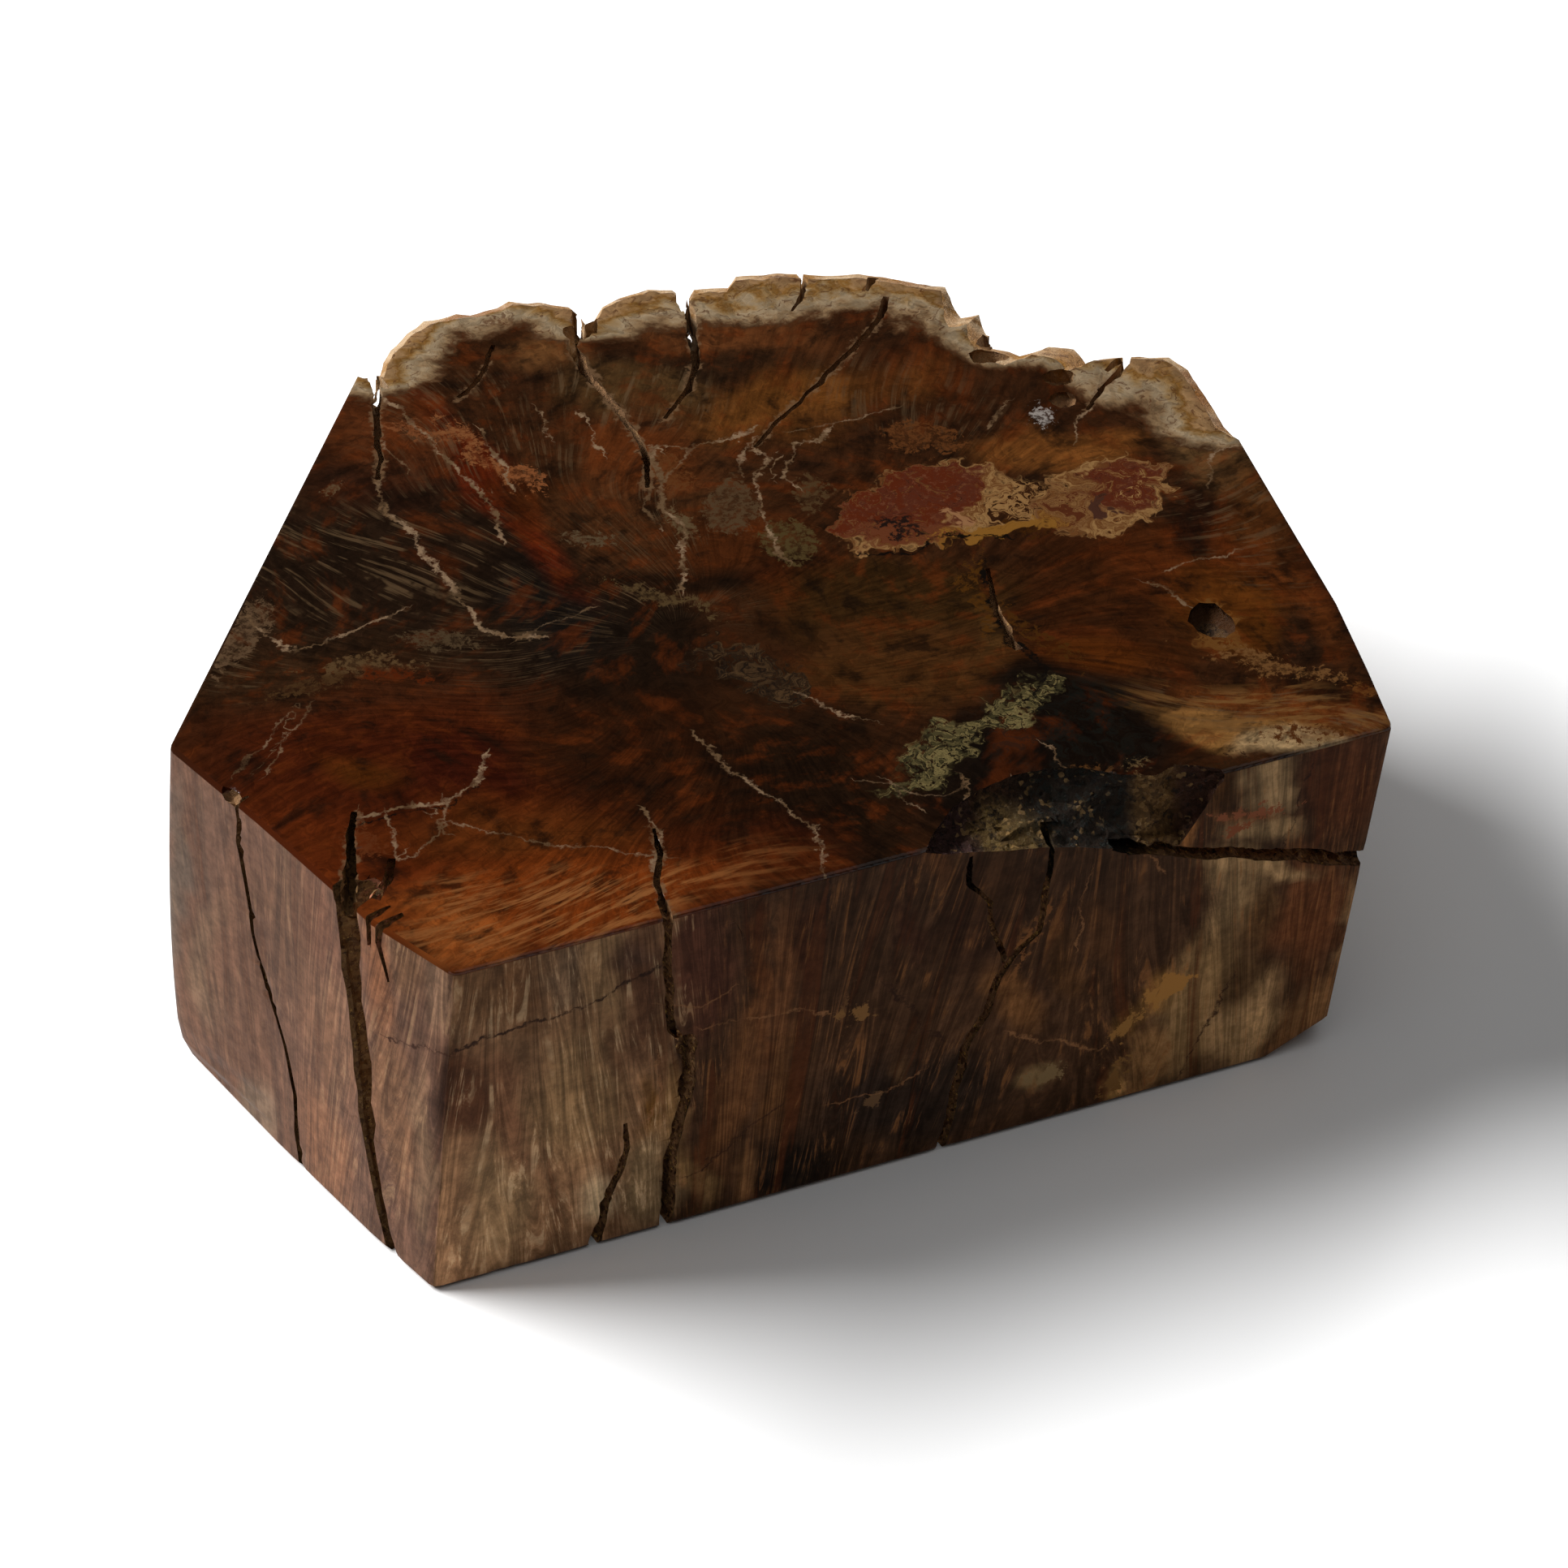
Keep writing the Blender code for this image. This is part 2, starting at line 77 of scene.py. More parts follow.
print("light and floor")
studio = {
    "floorSize": 6.0,
    "floorTone": (0.92, 0.92, 0.92),
    "air": 0.03,                     # faint even light from all round
    "keyFrom": (-0.72, 0.60, 0.93),   # direction of the soft key light
    "keyDistance": 2.4,
    "keySize": (1.7, 0.5),
    "keyPower": 114.0,
    "fillPlace": (0.2, -0.5, 1.7),    # wide soft light overhead
    "fillSize": 2.0,
    "fillPower": 7.5,
}
bpy.ops.mesh.primitive_plane_add(size=studio["floorSize"], location=(0, 0, 0))
floor = bpy.context.object
floor.name = "floor"
floorPaint = bpy.data.materials.new("paleFloor")
floorPaint.use_nodes = True
floorShader = floorPaint.node_tree.nodes["Principled BSDF"]
floorShader.inputs["Base Color"].default_value = (*studio["floorTone"], 1)
floorShader.inputs["Roughness"].default_value = 0.9
floorShader.inputs["Specular IOR Level"].default_value = 0.1
floor.data.materials.append(floorPaint)

keyFrom = Vector(studio["keyFrom"]).normalized()
bpy.ops.object.light_add(
    type='AREA',
    location=keyFrom * studio["keyDistance"],
    rotation=keyFrom.to_track_quat('Z', 'Y').to_euler())
key = bpy.context.object
key.name = "keyLight"
key.data.shape = 'RECTANGLE'
key.data.size, key.data.size_y = studio["keySize"]
key.data.energy = studio["keyPower"]
bpy.ops.object.light_add(type='AREA', location=studio["fillPlace"])
fill = bpy.context.object
fill.name = "overheadLight"
fill.data.shape = 'DISK'
fill.data.size = studio["fillSize"]
fill.data.energy = studio["fillPower"]

world = bpy.context.scene.world or bpy.data.worlds.new("studio")
bpy.context.scene.world = world
world.use_nodes = True
air = world.node_tree.nodes["Background"]
air.inputs["Color"].default_value = (1, 1, 1, 1)
air.inputs["Strength"].default_value = studio["air"]
bpy.context.scene.view_settings.view_transform = 'Standard'
bpy.context.scene.view_settings.look = 'None'

print("the block's mesh")
block = {
    "cadNode": "petrified_wood_slice",
    "slot": "polished_fossil_wood",
    "weld": 2e-6,
    # Longest edges of the fine mesh, in millimetres
    "topEdge": 1.9,
    "frontEdge": 2.1,
    "sideEdge": 3.6,
    "roughEdge": 1.5,
    "barkEdge": 2.2,
    "baseEdge": 6.0,
    "seenFrom": (-0.2832, -0.7118, 0.6428),
    "slack": 1.3,            # how far over its limit an edge may stay
    "mostRounds": 12,        # of splitting, or until only a few long edges are left
    "fewEdges": 200,
    "flatAngle": 1.0,
    "smoothAngle": 32.0,
}

# The sawn sides' edges, each with its place on the top and on the underside
sawnEdges = (
    ((-87.7, frontY), (-95.6, -101.6)),
    ((105.5, frontY), (97.6, -102.9)),
    ((109.3, -85.6), (103.6, -86.0)),
    ((113.4, -64.0), (110.0, -65.0)),
    ((117.9, -26.0), (116.0, -27.0)),
    ((120.4, -5.4), (118.8, -6.0)),
    ((-46.6, 86.4), (-47.6, 84.4)),
    ((-118.5, -21.0), (-119.1, -19.0)),
    ((-108.9, -48.4), (-112.2, -51.4)),
    ((-97.4, -84.4), (-102.4, -82.6)),
)
barkSide = 5             # the side after this edge is bark, not sawn
leftCorner = 7
cornerBelly = 4.2
cornerFoot = 8.0
barkRim = (
    (121.3, 1.6), (122.9, 23.2), (121.2, 29.4), (107.4, 34.8), (106.0, 43.4), (92.8, 44.4),
    (91.0, 62.6), (86.8, 73.2), (70.6, 85.4), (53.8, 92.4), (44.4, 94.4), (33.6, 92.8), (29.2, 94.4),
    (24.4, 97.0), (12.0, 93.6), (7.0, 90.4), (2.4, 100.2), (-6.0, 105.2), (-26.2, 104.8),
    (-36.9, 95.1), (-42.0, 86.4),
)


def readRows(items, name):
    values = np.empty(len(items) * 3)
    items.foreach_get(name, values)
    return values.reshape(-1, 3)


def planPoints(mesh):
    return readRows(mesh.vertices, "co") / mm + (0, planShift, 0)


def facesOf(mesh):
    centres = readRows(mesh.polygons, "center") / mm + (0, planShift, 0)
    return centres, readRows(mesh.polygons, "normal")


def sawnPlan(heights):
    # corners of the sawn outline at each height: an array of heights by corners by x and y
    level = (heights / height)[:, None, None]
    top = np.array([edge[0] for edge in sawnEdges])[None]
    foot = np.array([edge[1] for edge in sawnEdges])[None]
    plan = foot + (top - foot) * level
    low = 1.0 - level[:, 0, 0]
    belly = cornerBelly * np.sin(0.5 * math.pi * np.clip(1.2 * low, 0, 1))
    belly *= 0.25 + 0.75 * np.sqrt(np.clip(heights / cornerFoot, 0, 1))
    plan[:, leftCorner, 0] -= belly
    return plan


def sawnRuns(places):
    # each sawn side's start and run, at the places' own heights
    plan = sawnPlan(places[:, 2])
    for i in range(len(sawnEdges)):
        if i != barkSide:
            yield i, plan[:, i], plan[:, (i + 1) % len(sawnEdges)] - plan[:, i]


def nearestOn(places, start, run):
    # how far along a straight line each place is, from 0 to 1, and how it lies from there
    share = np.clip(((places - start) * run).sum(1) / (run ** 2).sum(-1), 0, 1)
    return share, places - start - run * share[:, None]


def sideOf(places):
    # for each place: the nearest sawn side, how far from it, and how far along it
    best = np.full(len(places), 1e9)
    side = np.full(len(places), -1)
    along = np.zeros(len(places))
    for i, start, run in sawnRuns(places):
        share, away = nearestOn(places[:, :2], start, run)
        gap = np.hypot(*away.T)
        near = gap < best
        best[near] = gap[near]
        side[near] = i
        along[near] = share[near]
    return side, best, along


def rimDistance(places):
    best = np.full(len(places), 1e9)
    for start, end in zip(barkRim, barkRim[1:]):
        _, away = nearestOn(places[:, :2], np.array(start), np.subtract(end, start))
        best = np.minimum(best, np.hypot(*away.T))
    return best


topSlot, sideSlot, barkSlot, brokenSlot, baseSlot = range(5)
faceRules = {
    "barkDepth": 12.0,       # how far in from its rim the bark's faces lie
    "barkFront": -6.0,
    "barkLeft": -44.0,
    # How far off a sawn side its faces may lie, and how squarely they have to face it
    "flush": ((0.9, 0.8), (0.45, 0.6)),
    "arris": 0.9,            # height and width of the worn edge round the top
    "arrisWidth": 1.5,
    "footHeight": 10.0,      # worn foot of the right front corner
    "footLeft": 78.0,
    "footBack": -76.0,
    "topDepth": 0.04,
    "baseHeight": 1.4,
}


def kindOfFaces(centres, normals):
    # which finish each face has
    kinds = np.full(len(centres), brokenSlot)
    side, gap, along = sideOf(centres)
    plan = sawnPlan(centres[:, 2])
    rows = np.arange(len(centres))
    run = plan[rows, (side + 1) % len(sawnEdges)] - plan[rows, side]
    outward = np.stack([run[:, 1], -run[:, 0]], 1) / np.hypot(*run.T)[:, None]
    facing = (normals[:, :2] * outward).sum(1)
    rim = rimDistance(centres)
    x, y, z = centres.T
    inBark = (rim < faceRules["barkDepth"]) & (y > faceRules["barkFront"]) & (x > faceRules["barkLeft"])
    kinds[inBark] = barkSlot
    for reach, least in faceRules["flush"]:
        kinds[(gap < reach) & (facing > least)] = sideSlot
    arris = (z > height - faceRules["arris"]) & (gap < faceRules["arrisWidth"]) & (normals[:, 2] > 0.2)
    kinds[arris] = np.where(x[arris] < leftOfFront, sideSlot, topSlot)
    kinds[(z > height - faceRules["topDepth"]) & (normals[:, 2] > 0.99)] = topSlot
    kinds[(z < faceRules["baseHeight"]) & (normals[:, 2] < -0.4)] = baseSlot
    foot = (z < faceRules["footHeight"]) & (x > faceRules["footLeft"]) & (y < faceRules["footBack"])
    kinds[foot & (normals[:, 2] < -0.2) & (kinds == brokenSlot)] = sideSlot
    return kinds


def limitsOf(mesh):
    # how long an edge may be, by the kind of its roughest face and by whether the camera sees it
    centres, normals = facesOf(mesh)
    kinds = kindOfFaces(centres, normals)
    limits = np.full(len(centres), block["roughEdge"])
    limits[kinds == topSlot] = block["topEdge"]
    limits[kinds == barkSlot] = block["barkEdge"]
    seen = normals @ np.array(block["seenFrom"]) > 0.05
    limits[(kinds == sideSlot) & seen] = block["frontEdge"]
    limits[(kinds == sideSlot) & ~seen] = block["sideEdge"]
    limits[kinds == baseSlot] = block["baseEdge"]
    return limits * mm


def makeBlock():
    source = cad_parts[block["cadNode"]]
    thing = bpy.data.objects.new("fossilWoodBlock", source.data.copy())
    bpy.context.scene.collection.objects.link(thing)
    bpy.ops.object.select_all(action='DESELECT')
    bpy.context.view_layer.objects.active = thing
    thing.select_set(True)
    thing.data.materials.clear()
    bpy.ops.mesh.customdata_custom_splitnormals_clear()
    bpy.ops.object.mode_set(mode='EDIT')
    bpy.ops.mesh.select_all(action='SELECT')
    bpy.ops.mesh.remove_doubles(threshold=block["weld"])
    bpy.ops.object.mode_set(mode='OBJECT')
    for _ in range(block["mostRounds"]):
        limits = limitsOf(thing.data)
        bpy.ops.object.mode_set(mode='EDIT')
        bpy.ops.mesh.select_mode(type='EDGE')
        bpy.ops.mesh.select_all(action='DESELECT')
        shape = bmesh.from_edit_mesh(thing.data)
        long = [e for e in shape.edges
                if e.calc_length() > block["slack"] * min(limits[f.index] for f in e.link_faces)]
        for edge in long:
            edge.select_set(True)
        bmesh.update_edit_mesh(thing.data)
        print("  edges to split:", len(long), "of", len(shape.edges))
        if len(long) < block["fewEdges"]:
            bpy.ops.object.mode_set(mode='OBJECT')
            break
        bpy.ops.mesh.subdivide(number_cuts=1)
        bpy.ops.mesh.select_all(action='SELECT')
        bpy.ops.mesh.quads_convert_to_tris(quad_method='BEAUTY', ngon_method='BEAUTY')
        bpy.ops.mesh.beautify_fill(angle_limit=math.radians(block["flatAngle"]))
        bpy.ops.object.mode_set(mode='OBJECT')
    print("  triangles:", len(thing.data.polygons))
    return thing


def edgeWear(thing, kinds):
    # crumbles the edges where cracks, bark and chip break the sawn faces, always into the stone
    mesh = thing.data
    shape = bmesh.new()
    shape.from_mesh(mesh)
    shape.faces.ensure_lookup_table()
    moves = {}
    for vertex in shape.verts:
        rough = [f for f in vertex.link_faces if kinds[f.index] in (brokenSlot, barkSlot)]
        sawn = [f for f in vertex.link_faces if kinds[f.index] in (topSlot, sideSlot)]
        if rough and sawn:
            inward = Vector()
            for face in rough:
                inward -= face.normal
            for face in sawn:
                inward -= face.normal * wear["drop"]
            bite = 0.5 + 0.5 * noise.noise(vertex.co / mm * wear["grain"])
            moves[vertex] = inward.normalized() * bite ** 2 * wear["reach"] * mm
    for vertex, move in moves.items():
        vertex.co += move
    shape.to_mesh(mesh)
    shape.free()


def roughen(thing, kinds, name, kind, grain, depth, pattern, rimLeast):
    # sinks one kind of surface in by a procedural relief, fading to nothing where it meets a sawn face
    mesh = thing.data
    owner = np.zeros(len(mesh.vertices), bool)
    sawn = np.zeros(len(mesh.vertices), bool)
    for polygon in mesh.polygons:
        mine = kinds[polygon.index] == kind
        bare = kinds[polygon.index] in (topSlot, sideSlot, baseSlot)
        for index in polygon.vertices:
            owner[index] |= mine
            sawn[index] |= bare
    group = thing.vertex_groups.new(name=name)
    level = np.ones(len(mesh.vertices))
    if rimLeast < 1.0:
        level = np.clip((height - planPoints(mesh)[:, 2]) / 12.0, rimLeast, 1.0)
    level = np.round(level * 10)
    for step in range(1, 11):
        chosen = np.nonzero(owner & ~sawn & (level == step))[0]
        group.add([int(i) for i in chosen], step / 10, 'REPLACE')
    relief = bpy.data.textures.new(name, pattern)
    relief.noise_scale = grain * mm
    if pattern == 'CLOUDS':
        relief.noise_depth = 3
    modifier = thing.modifiers.new(name, 'DISPLACE')
    modifier.texture = relief
    modifier.texture_coords = 'LOCAL'
    modifier.direction = 'NORMAL'
    modifier.mid_level = 1.0
    modifier.strength = depth * mm
    modifier.vertex_group = name
    bpy.ops.object.modifier_apply(modifier=name)


def keepInside(thing, before):
    # takes back every move that lifts a point out of the sawn faces
    after = planPoints(thing.data)
    out = (after[:, 2] > height - 0.01) | (after[:, 2] < 0.01)
    for _, start, run in sawnRuns(after):
        beyond = (after[:, 0] - start[:, 0]) * run[:, 1] - (after[:, 1] - start[:, 1]) * run[:, 0]
        out |= beyond > -0.01 * np.hypot(*run.T)
    out &= (np.abs(after - before) > 1e-3).any(1)
    after[out] = before[out]
    after[:, 1] -= planShift
    thing.data.vertices.foreach_set("co", (after * mm).ravel())
    print("  points put back:", out.sum())


wear = {
    "reach": 0.75,       # deepest bite out of a broken edge
    "drop": 0.6,
    "grain": 0.9,
    # Reliefs: kind of face, grain, depth, pattern, and the share of the depth that is left at the rim
    "barkLumps": (barkSlot, 6.0, 2.4, 'CLOUDS', 0.1),
    "barkGrain": (barkSlot, 1.7, 0.9, 'CLOUDS', 0.4),
    "brokenLumps": (brokenSlot, 3.2, 1.0, 'CLOUDS', 1.0),
    "brokenGrain": (brokenSlot, 1.3, 0.9, 'VORONOI', 1.0),
}
stone = makeBlock()
kinds = kindOfFaces(*facesOf(stone.data))
before = planPoints(stone.data)
edgeWear(stone, kinds)
for name in ("barkLumps", "barkGrain", "brokenLumps", "brokenGrain"):
    roughen(stone, kinds, name, *wear[name])
keepInside(stone, before)


def writeField(name, kind, channel, values):
    field = stone.data.attributes.new(name, kind, 'POINT')
    field.data.foreach_set(channel, values.astype(np.float32).ravel())


def lineField(name, places, lines, reach):
    # writes how far each point is from the nearest line, signed by its side, and the line's half width
    signed = np.full(len(places), reach)
    far = np.full(len(places), reach)
    half = np.full(len(places), 0.3)
    for (first, last), path in lines:
        points = np.array(path, float)
        for i in range(len(points) - 1):
            run = points[i + 1] - points[i]
            share, gap = nearestOn(places, points[i], run)
            distance = np.hypot(*gap.T)
            near = distance < far
            cross = run[0] * gap[:, 1] - run[1] * gap[:, 0]
            far[near] = distance[near]
            signed[near] = (np.sign(cross) * distance)[near]
            width = first + (last - first) * (i + share) / (len(points) - 1)
            half[near] = 0.5 * width[near]
    writeField(name, 'FLOAT_VECTOR', "vector", np.stack([signed, far, half], 1))


def numberField(name, values):
    writeField(name, 'FLOAT', "value", values)


# Healed cracks and veins in the polished top, in plan: the widths at both ends, then the path. Each set
# keeps its lines well apart
paleVeins = (
    ((0.9, 1.2), ((-53.9, 48.3), (-56.4, 35.4), (-54.1, 30.6), (-52.3, 12.9), (-50.2, -6.8),
                  (-45.7, -12.8), (-40.0, -15.5))),
    ((0.8, 1.0), ((-43.9, 76.2), (-41.1, 69.2), (-37.6, 46.5), (-35.0, 33.0), (-35.4, 18.9))),
    ((0.6, 0.9), ((-28.6, 57.2), (-28.0, 45.8), (-28.7, 35.8))),
    ((0.5, 0.5), ((-15.8, 60.1), (-15.2, 48.6))),
    ((0.5, 0.8), ((-6.6, 54.2), (-6.2, 48.2), (-6.9, 42.1), (-7.6, 39.2))),
    ((1.5, 0.7), ((3.0, 36.8), (1.2, 29.5), (-0.5, 23.9), (-1.7, 16.7), (-0.4, 8.5), (-9.0, -12.2))),
    ((0.6, 0.7), ((3.8, 37.9), (10.8, 34.5), (14.7, 35.1), (25.1, 35.8))),
    ((1.1, 0.7), ((23.4, 29.1), (25.3, 24.6), (21.3, 21.5), (18.7, 17.9), (17.1, 10.8), (14.6, -9.3))),
    ((0.9, 0.7), ((40.4, 29.7), (35.5, 26.9), (32.8, 27.0), (28.0, 21.9), (24.8, 17.6), (26.9, 12.4))),
    ((0.6, 0.6), ((-23.1, -55.0), (-19.8, -68.3), (-14.2, -79.6), (-11.5, -89.7), (-12.9, -103.0))),
    ((0.5, 0.4), ((1.1, -51.9), (6.2, -58.5), (11.4, -64.7))),
    ((1.1, 0.7), ((-91.0, -54.0), (-81.4, -55.5), (-73.8, -57.2), (-66.4, -52.3), (-61.4, -46.4))),
    ((0.7, 0.9), ((-40.0, -73.2), (-39.5, -78.6), (-41.0, -85.6), (-44.4, -93.0))),
    ((0.7, 0.5), ((-93.4, 14.0), (-92.0, 6.0), (-87.0, -1.5), (-74.0, 0.0), (-62.0, 4.0))),
    ((0.6, 0.5), ((109.2, 28.4), (101.9, 23.0), (94.8, 16.1), (88.0, 8.0))),
    ((0.8, 0.5), ((74.5, 19.3), (79.3, 23.9))),
    ((0.7, 0.7), ((118.6, -6.2), (113.5, -8.9), (107.4, -17.5))),
    ((0.6, 0.6), ((80.2, -43.4), (83.5, -47.9), (85.7, -52.8))),
    ((0.4, 0.4), ((6.6, -81.4), (8.4, -86.0), (9.4, -91.6))),
    ((0.5, 0.4), ((20.7, -87.0), (20.0, -90.6), (18.3, -93.8))),
    ((0.5, 0.4), ((30.4, -91.4), (30.1, -95.4), (32.0, -98.0))),
    ((0.4, 0.4), ((39.5, -82.6), (40.7, -85.7), (39.9, -89.4), (40.8, -93.7))),
)
paleTwigs = (
    ((0.6, 0.5), ((-49.6, 60.7), (-48.6, 54.0), (-47.2, 50.3))),
    ((0.8, 0.5), ((-0.6, 30.0), (-4.3, 20.8), (-5.9, 11.4))),
    ((0.7, 0.9), ((2.1, 26.9), (6.8, 28.8), (9.9, 32.3), (11.3, 34.3))),
    ((0.7, 0.6), ((23.5, 31.6), (18.2, 22.7))),
    ((0.4, 0.5), ((33.7, 31.7), (41.3, 31.9), (48.5, 31.3), (58.0, 33.0))),
    ((0.6, 0.6), ((-85.0, -55.5), (-87.5, -63.0), (-88.0, -68.0))),
    ((0.5, 0.5), ((-74.5, -56.5), (-77.0, -66.0), (-84.0, -70.0), (-88.0, -68.5))),
    ((0.35, 0.35), ((-78.0, -59.5), (-63.0, -73.0), (-40.0, -88.0))),
    ((0.3, 0.3), ((-91.9, -18.1), (-108.9, -34.1))),
    ((0.3, 0.3), ((-88.9, -19.3), (-104.5, -35.8))),
    ((0.4, 0.5), ((-44.4, -14.8), (-34.2, -10.3), (-27.2, -10.2))),
    ((0.5, 0.4), ((86.8, -41.0), (94.1, -40.0), (101.5, -41.0))),
    ((0.4, 0.4), ((2.1, -80.9), (8.4, -84.2), (12.6, -89.1))),
    ((0.4, 0.4), ((15.9, -90.3), (18.5, -90.0), (19.8, -88.2))),
)
darkVeins = (
    ((1.2, 1.6), ((52.5, -25.0), (50.1, -32.3), (48.6, -40.4), (46.2, -50.6), (48.4, -54.6),
                  (50.2, -61.8), (44.0, -68.0))),
    ((0.8, 0.8), ((31.0, -13.5), (40.0, -16.5), (50.0, -14.0), (60.0, -19.0))),
    ((0.5, 0.5), ((-92.5, -57.0), (-81.4, -57.0), (-73.8, -58.7), (-67.4, -54.3))),
)
# Pale healed rims beside the open cracks in the top
crackRims = (
    ((2.6, 1.9), ((-44.5, 77.7), (-48.9, 65.2), (-51.4, 55.1), (-53.9, 48.3))),
    ((3.4, 2.2), ((6.9, 93.0), (3.6, 84.6), (0.2, 79.5), (-0.1, 70.2), (1.1, 58.2), (1.8, 45.0),
                  (1.0, 34.3), (-2.8, 24.9))),
    ((3.2, 1.8), ((29.4, 87.4), (27.7, 77.7), (23.9, 65.7), (18.1, 54.8), (9.8, 46.7))),
    ((2.0, 1.9), ((71.7, 72.2), (66.3, 64.0), (56.8, 56.0), (48.3, 49.3), (38.6, 41.7), (31.0, 36.6),
                  (23.8, 29.9))),
    ((2.0, 1.5), ((109.2, 28.4), (101.9, 23.0), (94.8, 16.1))),
    ((1.6, 1.6), ((-19.2, 79.5), (-22.6, 74.9), (-28.8, 70.2))),
    ((1.6, 2.2), ((-39.5, -78.6), (-41.0, -85.6), (-44.4, -93.0), (-45.4, -105.0))),
    ((2.0, 3.8), ((-90.4, -53.2), (-93.4, -59.4), (-95.7, -65.9), (-98.4, -73.0))),
)


wiggleSeed = 7           # without it the wiggles would differ from run to run
noise.seed_set(wiggleSeed)


def wiggled(places, grain, reach):
    # the points moved about unevenly, so that lines drawn from them wander
    moved = np.array(places, float)
    for i, (x, y) in enumerate(places):
        drift = noise.noise_vector((x / grain, y / grain, 7.0)) * reach
        drift += noise.noise_vector((x / grain * 2.7, y / grain * 2.7, 3.0)) * reach * 0.45
        moved[i] += drift[:2]
    return moved


places = planPoints(stone.data)
onPlan = places[:, :2]
lineField("crackRims", onPlan, crackRims, 6.0)
onTop = wiggled(onPlan, 7.0, 1.9)
lineField("paleVeins", onTop, paleVeins, 6.0)
lineField("paleTwigs", onTop, paleTwigs, 6.0)
lineField("darkVeins", onTop, darkVeins, 6.0)


def girthOf(side, along):
    # how far round the sawn sides each place is, with the front side's own x on the front
    tops = np.array([edge[0] for edge in sawnEdges])
    lengths = np.hypot(*(np.roll(tops, -1, 0) - tops).T)
    starts = np.concatenate(([0.0], np.cumsum(lengths)[:-1]))
    starts[barkSide + 1:] -= lengths.sum()
    return tops[0, 0] + starts[side] + along * lengths[side]


side, gap, along = sideOf(places)
girth = girthOf(side, along)
numberField("sunk", np.minimum(gap, height - places[:, 2]))    # depth below the sawn faces
numberField("girth", girth)
roundSides = np.stack([girth, places[:, 2]], 1)
# Healed cracks, seams and scratches of the sawn sides: the widths, then how far round and how high
sideSeams = (
    ((0.7, 0.8), ((-104.2, 57.1), (-97.2, 59.0), (-90.9, 62.0), (-82.2, 63.7), (-74.2, 64.4),
                  (-66.1, 65.4), (-58.8, 66.0), (-54.7, 68.7), (-46.0, 71.5))),
    ((0.7, 0.7), ((1.6, 50.6), (6.9, 44.5), (11.4, 36.0), (15.9, 31.6))),
    ((0.5, 0.5), ((-14.0, 81.1), (-12.9, 70.1))),
    ((0.5, 0.5), ((86.1, 58.0), (87.6, 68.0), (88.0, 82.2))),
    ((0.5, 0.5), ((72.0, 2.0), (76.0, 14.0), (80.0, 26.0))),
    ((0.5, 0.4), ((-40.0, 13.0), (-33.0, 14.0), (-24.0, 22.0), (-17.0, 26.0))),
    ((1.0, 0.6), ((-205.0, 8.0), (-211.0, 40.0), (-208.0, 83.0))),
    ((0.8, 0.8), ((190.0, 4.0), (186.0, 44.0), (193.0, 83.0))),
    ((1.4, 0.6), ((-262.0, 0.0), (-258.0, 30.0), (-263.0, 58.0), (-260.0, 83.0))),
)
sideThreads = (
    ((0.4, 0.5), ((-35.0, 52.0), (-25.0, 51.2), (-17.0, 50.6), (-9.0, 47.0))),
    ((0.4, 0.4), ((43.0, 66.0), (41.5, 57.0), (42.5, 47.0))),
    ((0.4, 0.6), ((51.0, 72.0), (55.0, 66.0), (58.0, 61.0))),
    ((0.5, 0.4), ((51.3, 16.1), (42.0, 22.0), (31.0, 27.1))),
    ((0.4, 0.4), ((-122.0, 27.0), (-112.0, 29.0), (-105.0, 27.0))),
    ((0.3, 0.3), ((-46.0, 62.0), (-38.0, 58.0), (-31.0, 60.0))),
    ((0.4, 0.5), ((-45.0, 48.0), (-44.0, 38.0), (-46.0, 28.0))),
    ((0.4, 0.4), ((-6.0, 22.0), (4.0, 21.0), (12.0, 24.0))),
)
onSides = wiggled(roundSides, 7.0, 1.8)
lineField("sideSeams", onSides, sideSeams, 6.0)
lineField("sideThreads", onSides, sideThreads, 6.0)


print("finishes")


def tone(colour, light=1.0):
    # a colour as it looks in the studio, from 0 to 255, made the stone's own colour under that light
    made = []
    for value in colour:
        value /= 255
        linear = value / 12.92 if value < 0.04045 else ((value + 0.055) / 1.055) ** 2.4
        made.append(max(0.001, linear / light))
    return tuple(made)


def ovalLevel(places, at, size, turn):
    # 0 in the middle of an oval, 1 on its edge, more outside it
    turn = math.radians(turn)
    x, y = (places - np.array(at, float)).T
    long = (x * math.cos(turn) + y * math.sin(turn)) / size[0]
    wide = (y * math.cos(turn) - x * math.sin(turn)) / size[1]
    return np.hypot(long, wide)


def ovalShare(places, at, size, turn, soft):
    share = np.clip((1 + soft - ovalLevel(places, at, size, turn)) / (2 * soft), 0, 1)
    return share * share * (3 - 2 * share)


def paintZones(name, places, zones, base):
    # soft zones painted one over the other on the mesh's points
    colours = np.array(base, float) + np.zeros((len(places), 3))
    for at, size, turn, look, edge, strength in zones:
        share = ovalShare(places, at, size, turn, edge) * strength
        colours += (np.array(look) - colours) * share[:, None]
    writeField(name, 'FLOAT_COLOR', "color", np.column_stack([colours, np.ones(len(places))]))


def paintPatches(name, places, patches):
    # the colour of the nearest patch, and how many millimetres inside its edge each point is
    colours = np.zeros((len(places), 3))
    inside = np.full(len(places), -8.0)
    for at, size, turn, look in patches:
        depth = (1 - ovalLevel(places, at, size, turn)) * min(size)
        nearer = depth > inside
        inside[nearer] = depth[nearer]
        colours[nearer] = look
    writeField(name, 'FLOAT_COLOR', "color", np.column_stack([colours, inside]))


def areaShare(places, areas):
    share = np.zeros(len(places))
    for at, size, turn, strength in areas:
        share = np.maximum(share, ovalShare(places, at, size, turn, 0.5) * strength)
    return share


